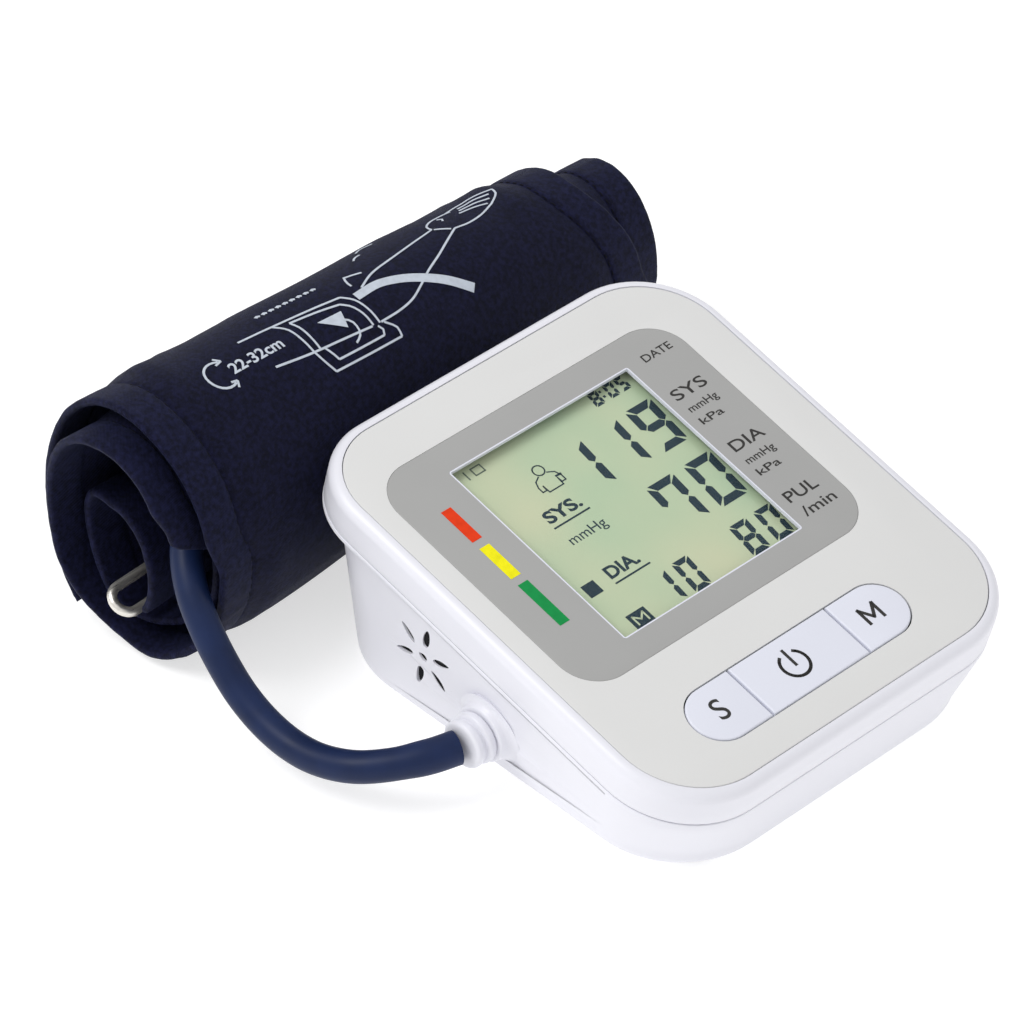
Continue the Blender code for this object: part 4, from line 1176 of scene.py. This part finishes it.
def make_ring():
    """Long wire loop, bent round at both ends."""
    half_width = RING_WIDTH / 2
    points = []
    for side in (1, -1):
        mid = side * (RING_LENGTH / 2 - half_width)
        for step in range(25):
            angle = math.radians(-90 * side + 180 * step / 24)
            points.append(Vector((mid + half_width * math.cos(angle),
                                  half_width + half_width * math.sin(angle), 0)))
    rings = []
    total = len(points)
    for index, point in enumerate(points):
        along = (points[(index + 1) % total] - points[index - 1]).normalized()
        aside = Vector((-along.y, along.x, 0))
        rings.append([point + aside * RING_WIRE * math.cos(2 * math.pi * i / 24)
                      + Vector((0, 0, RING_WIRE * math.sin(2 * math.pi * i / 24))) for i in range(24)])
    bm = bmesh.new()
    skin(bm, rings, around=True)
    turn = [math.radians(a) for a in RING_TURN]
    at = (Matrix.Translation(Vector(RING_AT) * MM) @ Matrix.Rotation(turn[2], 4, "Z")
          @ Matrix.Rotation(turn[1], 4, "Y") @ Matrix.Rotation(turn[0], 4, "X"))
    piece("wire_ring", bm, "steel", "ring", ["metal_ring"], at, 60)


# ---------------------------------------------------------------- prints on the face

def flat_marks(name, shapes, depth, height, look, body="monitor"):
    """Thin printed shapes in face coordinates; each is an outline."""
    bm = bmesh.new()
    for points in shapes:
        rows = skin(bm, [[(x, y, -depth + z) for x, y in points] for z in (0.0, height)])
        bm.faces.new(rows[0])
        bm.faces.new(rows[-1])
    return piece(name, bm, look, body, (), FACE_FRAME)


def stroke(points, width, closed=False):
    """Outlines of the straight strips that follow a line."""
    made = []
    ends = list(zip(points, points[1:] + (points[:1] if closed else [])))
    for (ax, ay), (bx, by) in ends[:len(points) if closed else len(points) - 1]:
        along = Vector((bx - ax, by - ay))
        if along.length < 1e-6:
            continue
        along.normalize()
        side = Vector((-along.y, along.x)) * width / 2
        tip = along * width * 0.35
        a, b = Vector((ax, ay)) - tip, Vector((bx, by)) + tip
        made.append([tuple(a + side), tuple(a - side), tuple(b - side), tuple(b + side)])
    return made


def segments(lit, left, low, wide, tall, weight, lean):
    """Outlines of a seven-segment digit's lit bars: a top, b c right, d bottom, e f left, g middle."""
    w, g, c, mid = weight, weight * 0.07, weight * 0.24, tall / 2
    top = [(c + g, tall), (wide - c - g, tall), (wide - w - g, tall - w), (w + g, tall - w)]
    side = [(0, tall - c - g), (c * 0.35, tall - c - g), (w, tall - w - g), (w, mid + w / 2 + g),
            (w * 0.5, mid + g),
            (0, mid + w / 2)]
    bar = [(w * 0.6, mid), (w + g, mid + w / 2), (wide - w - g, mid + w / 2), (wide - w * 0.6, mid),
           (wide - w - g, mid - w / 2), (w + g, mid - w / 2)]
    flip_x = [(wide - x, y) for x, y in side]
    bars = {"a": top, "f": side, "b": flip_x, "g": bar, "d": [(x, tall - y) for x, y in top],
            "e": [(x, tall - y) for x, y in side], "c": [(x, tall - y) for x, y in flip_x]}
    return [[(left + x + lean * y / tall, low + y) for x, y in bars[name]] for name in lit]


DIGITS = {"0": "abcdef", "1": "bc", "5": "acdfg", "7": "abcf", "8": "abcdefg", "9": "abcdfg"}


def number(text, left, low, wide, tall, pitch, weight, lean):
    made = []
    for index, digit in enumerate(text):
        made += segments(DIGITS[digit], left + index * pitch, low, wide, tall, weight, lean)
    return made


def lettering(name, text, middle, tall, look, depth=0.0, wide=None, bold=0.0, body="monitor"):
    """Plain sans-serif lettering, centred, with capitals of the given height."""
    curve = bpy.data.curves.new(name, "FONT")
    curve.body = text
    curve.extrude = 0.0
    curve.offset = bold
    curve.resolution_u = 6
    maker = bpy.data.objects.new(name, curve)
    SCENE.collection.objects.link(maker)
    graph = bpy.context.evaluated_depsgraph_get()
    graph.update()
    mesh = bpy.data.meshes.new_from_object(maker.evaluated_get(graph))
    bpy.data.objects.remove(maker, do_unlink=True)
    bm = bmesh.new()
    bm.from_mesh(mesh)
    bmesh.ops.remove_doubles(bm, verts=bm.verts, dist=1e-5)
    xs = [v.co.x for v in bm.verts]
    scale_y = tall / 0.69
    scale_x = scale_y if wide is None else wide / (max(xs) - min(xs))
    mid_x = (max(xs) + min(xs)) / 2
    for vert in bm.verts:
        vert.co = ((vert.co.x - mid_x) * scale_x + middle[0],
                   (vert.co.y - 0.345) * scale_y + middle[1], -depth)
    grown = bmesh.ops.extrude_face_region(bm, geom=bm.faces[:])
    bmesh.ops.translate(bm, vec=(0, 0, 0.03),
                        verts=[v for v in grown["geom"] if isinstance(v, bmesh.types.BMVert)])
    return piece(name, bm, look, body, (), FACE_FRAME)


def make_display_marks():
    """What the display shows: time, two pressures, pulse and small marks, all on its cell."""
    depth = LCD_DEPTH
    big = number("9", 15.1, 16.9, 7.5, 13.1, 10.3, 1.95, 0.9)
    big += number("11", -5.2, 16.9, 7.1, 13.1, 10.4, 1.95, 0.9)
    big += number("70", 4.1, -1.1, 7.9, 13.1, 11.0, 1.95, 0.9)
    big += number("80", 11.4, -14.6, 5.0, 8.8, 7.2, 1.35, 0.8)
    big += number("10", -12.4, -14.6, 4.6, 8.6, 6.8, 1.3, 0.7)
    big += number("8", 12.2, 34.3, 2.6, 3.9, 3.0, 0.8, 0.4)
    big += number("05", 16.6, 34.3, 2.6, 3.9, 3.3, 0.8, 0.4)
    for y in (35.4, 36.9):
        big.append([(15.35, y), (15.95, y), (15.95, y + 0.6), (15.35, y + 0.6)])
    big.append([(-24.9, -3.1), (-21.4, -3.1), (-21.4, 0.4), (-24.9, 0.4)])
    big += stroke([(-18.4, 15.0), (-8.4, 15.0)], 0.42)
    big += stroke([(-17.9, -3.1), (-8.2, -3.1)], 0.42)
    big.append([(-22.6, -14.8), (-17.5, -14.8), (-17.5, -10.7), (-22.6, -10.7)])
    letter = stroke([(-21.5, -13.9), (-21.5, -11.6), (-20.05, -13.0), (-18.6, -11.6), (-18.6, -13.9)], 0.42)
    flat_marks("display_box_letter", letter, depth - 0.04, 0.02, "screen")
    flat_marks("display_digits", big, depth, 0.04, "segment")
    flat_marks("display_person", person_mark(), depth, 0.04, "segment")
    flat_marks("display_corner_marks", frame_of(-22.4, 34.9, 2.9, 2.3, 0.32)
               + stroke([(-24.1, 34.9), (-24.1, 37.2)], 0.32), depth, 0.04, "faint_segment")
    lettering("display_sys", "SYS.", (-13.6, 17.9), 3.0, "segment", depth, 9.6, 0.03)
    lettering("display_dia", "DIA.", (-13.6, -0.2), 3.0, "segment", depth, 8.6, 0.03)
    lettering("display_unit", "mmHg", (-13.2, 10.7), 2.5, "segment", depth, 10.0)


def frame_of(x, y, wide, tall, weight):
    inner = weight / 2
    corners = [(x + inner, y + inner), (x + wide - inner, y + inner), (x + wide - inner, y + tall - inner),
               (x + inner, y + tall - inner)]
    return stroke(corners, weight, closed=True)


def person_mark():
    """Small outline figure: a round head over shoulders, with a band on one arm."""
    head = [(-10.4 + 1.35 * math.cos(2 * math.pi * i / 18), 28.6 + 1.35 * math.sin(2 * math.pi * i / 18))
            for i in range(18)]
    body = [(-11.6, 27.3), (-13.1, 26.5), (-13.7, 25.0), (-13.7, 23.6), (-12.6, 23.6), (-12.5, 24.9),
            (-12.4, 22.9), (-8.4, 22.9), (-8.3, 24.9), (-8.2, 23.6), (-7.1, 23.6), (-7.1, 25.0), (-7.7, 26.5),
            (-9.2, 27.3)]
    return stroke(head, 0.3, closed=True) + stroke(body, 0.3) + stroke([(-8.3, 25.4), (-7.0, 25.4)], 0.5)


def make_face_marks():
    """Scale bars, unit labels and the marks on the keys."""
    for name, low, high in (("red", 20.7, 30.4), ("yellow", 8.9, 18.6), ("green", -5.9, 6.9)):
        shape = [(-37.2, low), (-34.5, low), (-34.5, high), (-37.2, high)]
        flat_marks(f"scale_bar_{name}", [shape], 0.0, 0.06, name)
    for name, text, middle, tall, wide in (
            ("date", "DATE", (31.9, 37.2), 2.0, 8.2), ("sys", "SYS", (30.5, 25.8), 2.9, 9.3),
            ("sys_unit", "mmHg", (30.3, 21.3), 1.9, 8.2), ("sys_unit_2", "kPa", (29.2, 17.4), 1.9, 6.4),
            ("dia", "DIA", (30.9, 8.4), 2.9, 9.1), ("dia_unit", "mmHg", (30.4, 3.9), 1.9, 8.2),
            ("dia_unit_2", "kPa", (29.4, 0.2), 1.9, 6.4), ("pulse", "PUL", (30.5, -8.4), 2.9, 8.7),
            ("pulse_unit", "/min", (31.1, -13.2), 2.6, 9.2)):
        lettering(f"label_{name}", text, middle, tall, "ink", 0.0, wide, 0.007)
    top = -0.16
    lettering("mark_set", "S", (-25.2, -40.7), 5.2, "ink", top, None, 0.004, "set_key")
    letter = [(16.9, -43.0), (16.9, -38.9), (18.95, -42.0), (21.0, -38.9), (21.0, -43.0)]
    flat_marks("mark_memory", stroke(letter, 0.78), top, 0.03, "ink", "memory_key")
    arc = [(-3.8 + 3.3 * math.cos(math.radians(a)), -41.2 + 3.3 * math.sin(math.radians(a)))
           for a in range(125, 416, 10)]
    shapes = stroke(arc, 0.72) + stroke([(-3.8, -37.3), (-3.8, -41.6)], 0.72)
    flat_marks("mark_power", shapes, top, 0.03, "ink", "power_key")


# ---------------------------------------------------------------- assembly

make_camera()
LOOKS = make_looks()
make_studio()
make_port()
make_hose()
repaint_frame()
make_rim()
make_base()
make_face_plate()
make_lens()
make_key_well()
make_keys()
RELIEF = inflate_band()
make_cuff()
make_stitches()
make_print()
make_hook_strip()
make_ring()
make_display_marks()
make_face_marks()
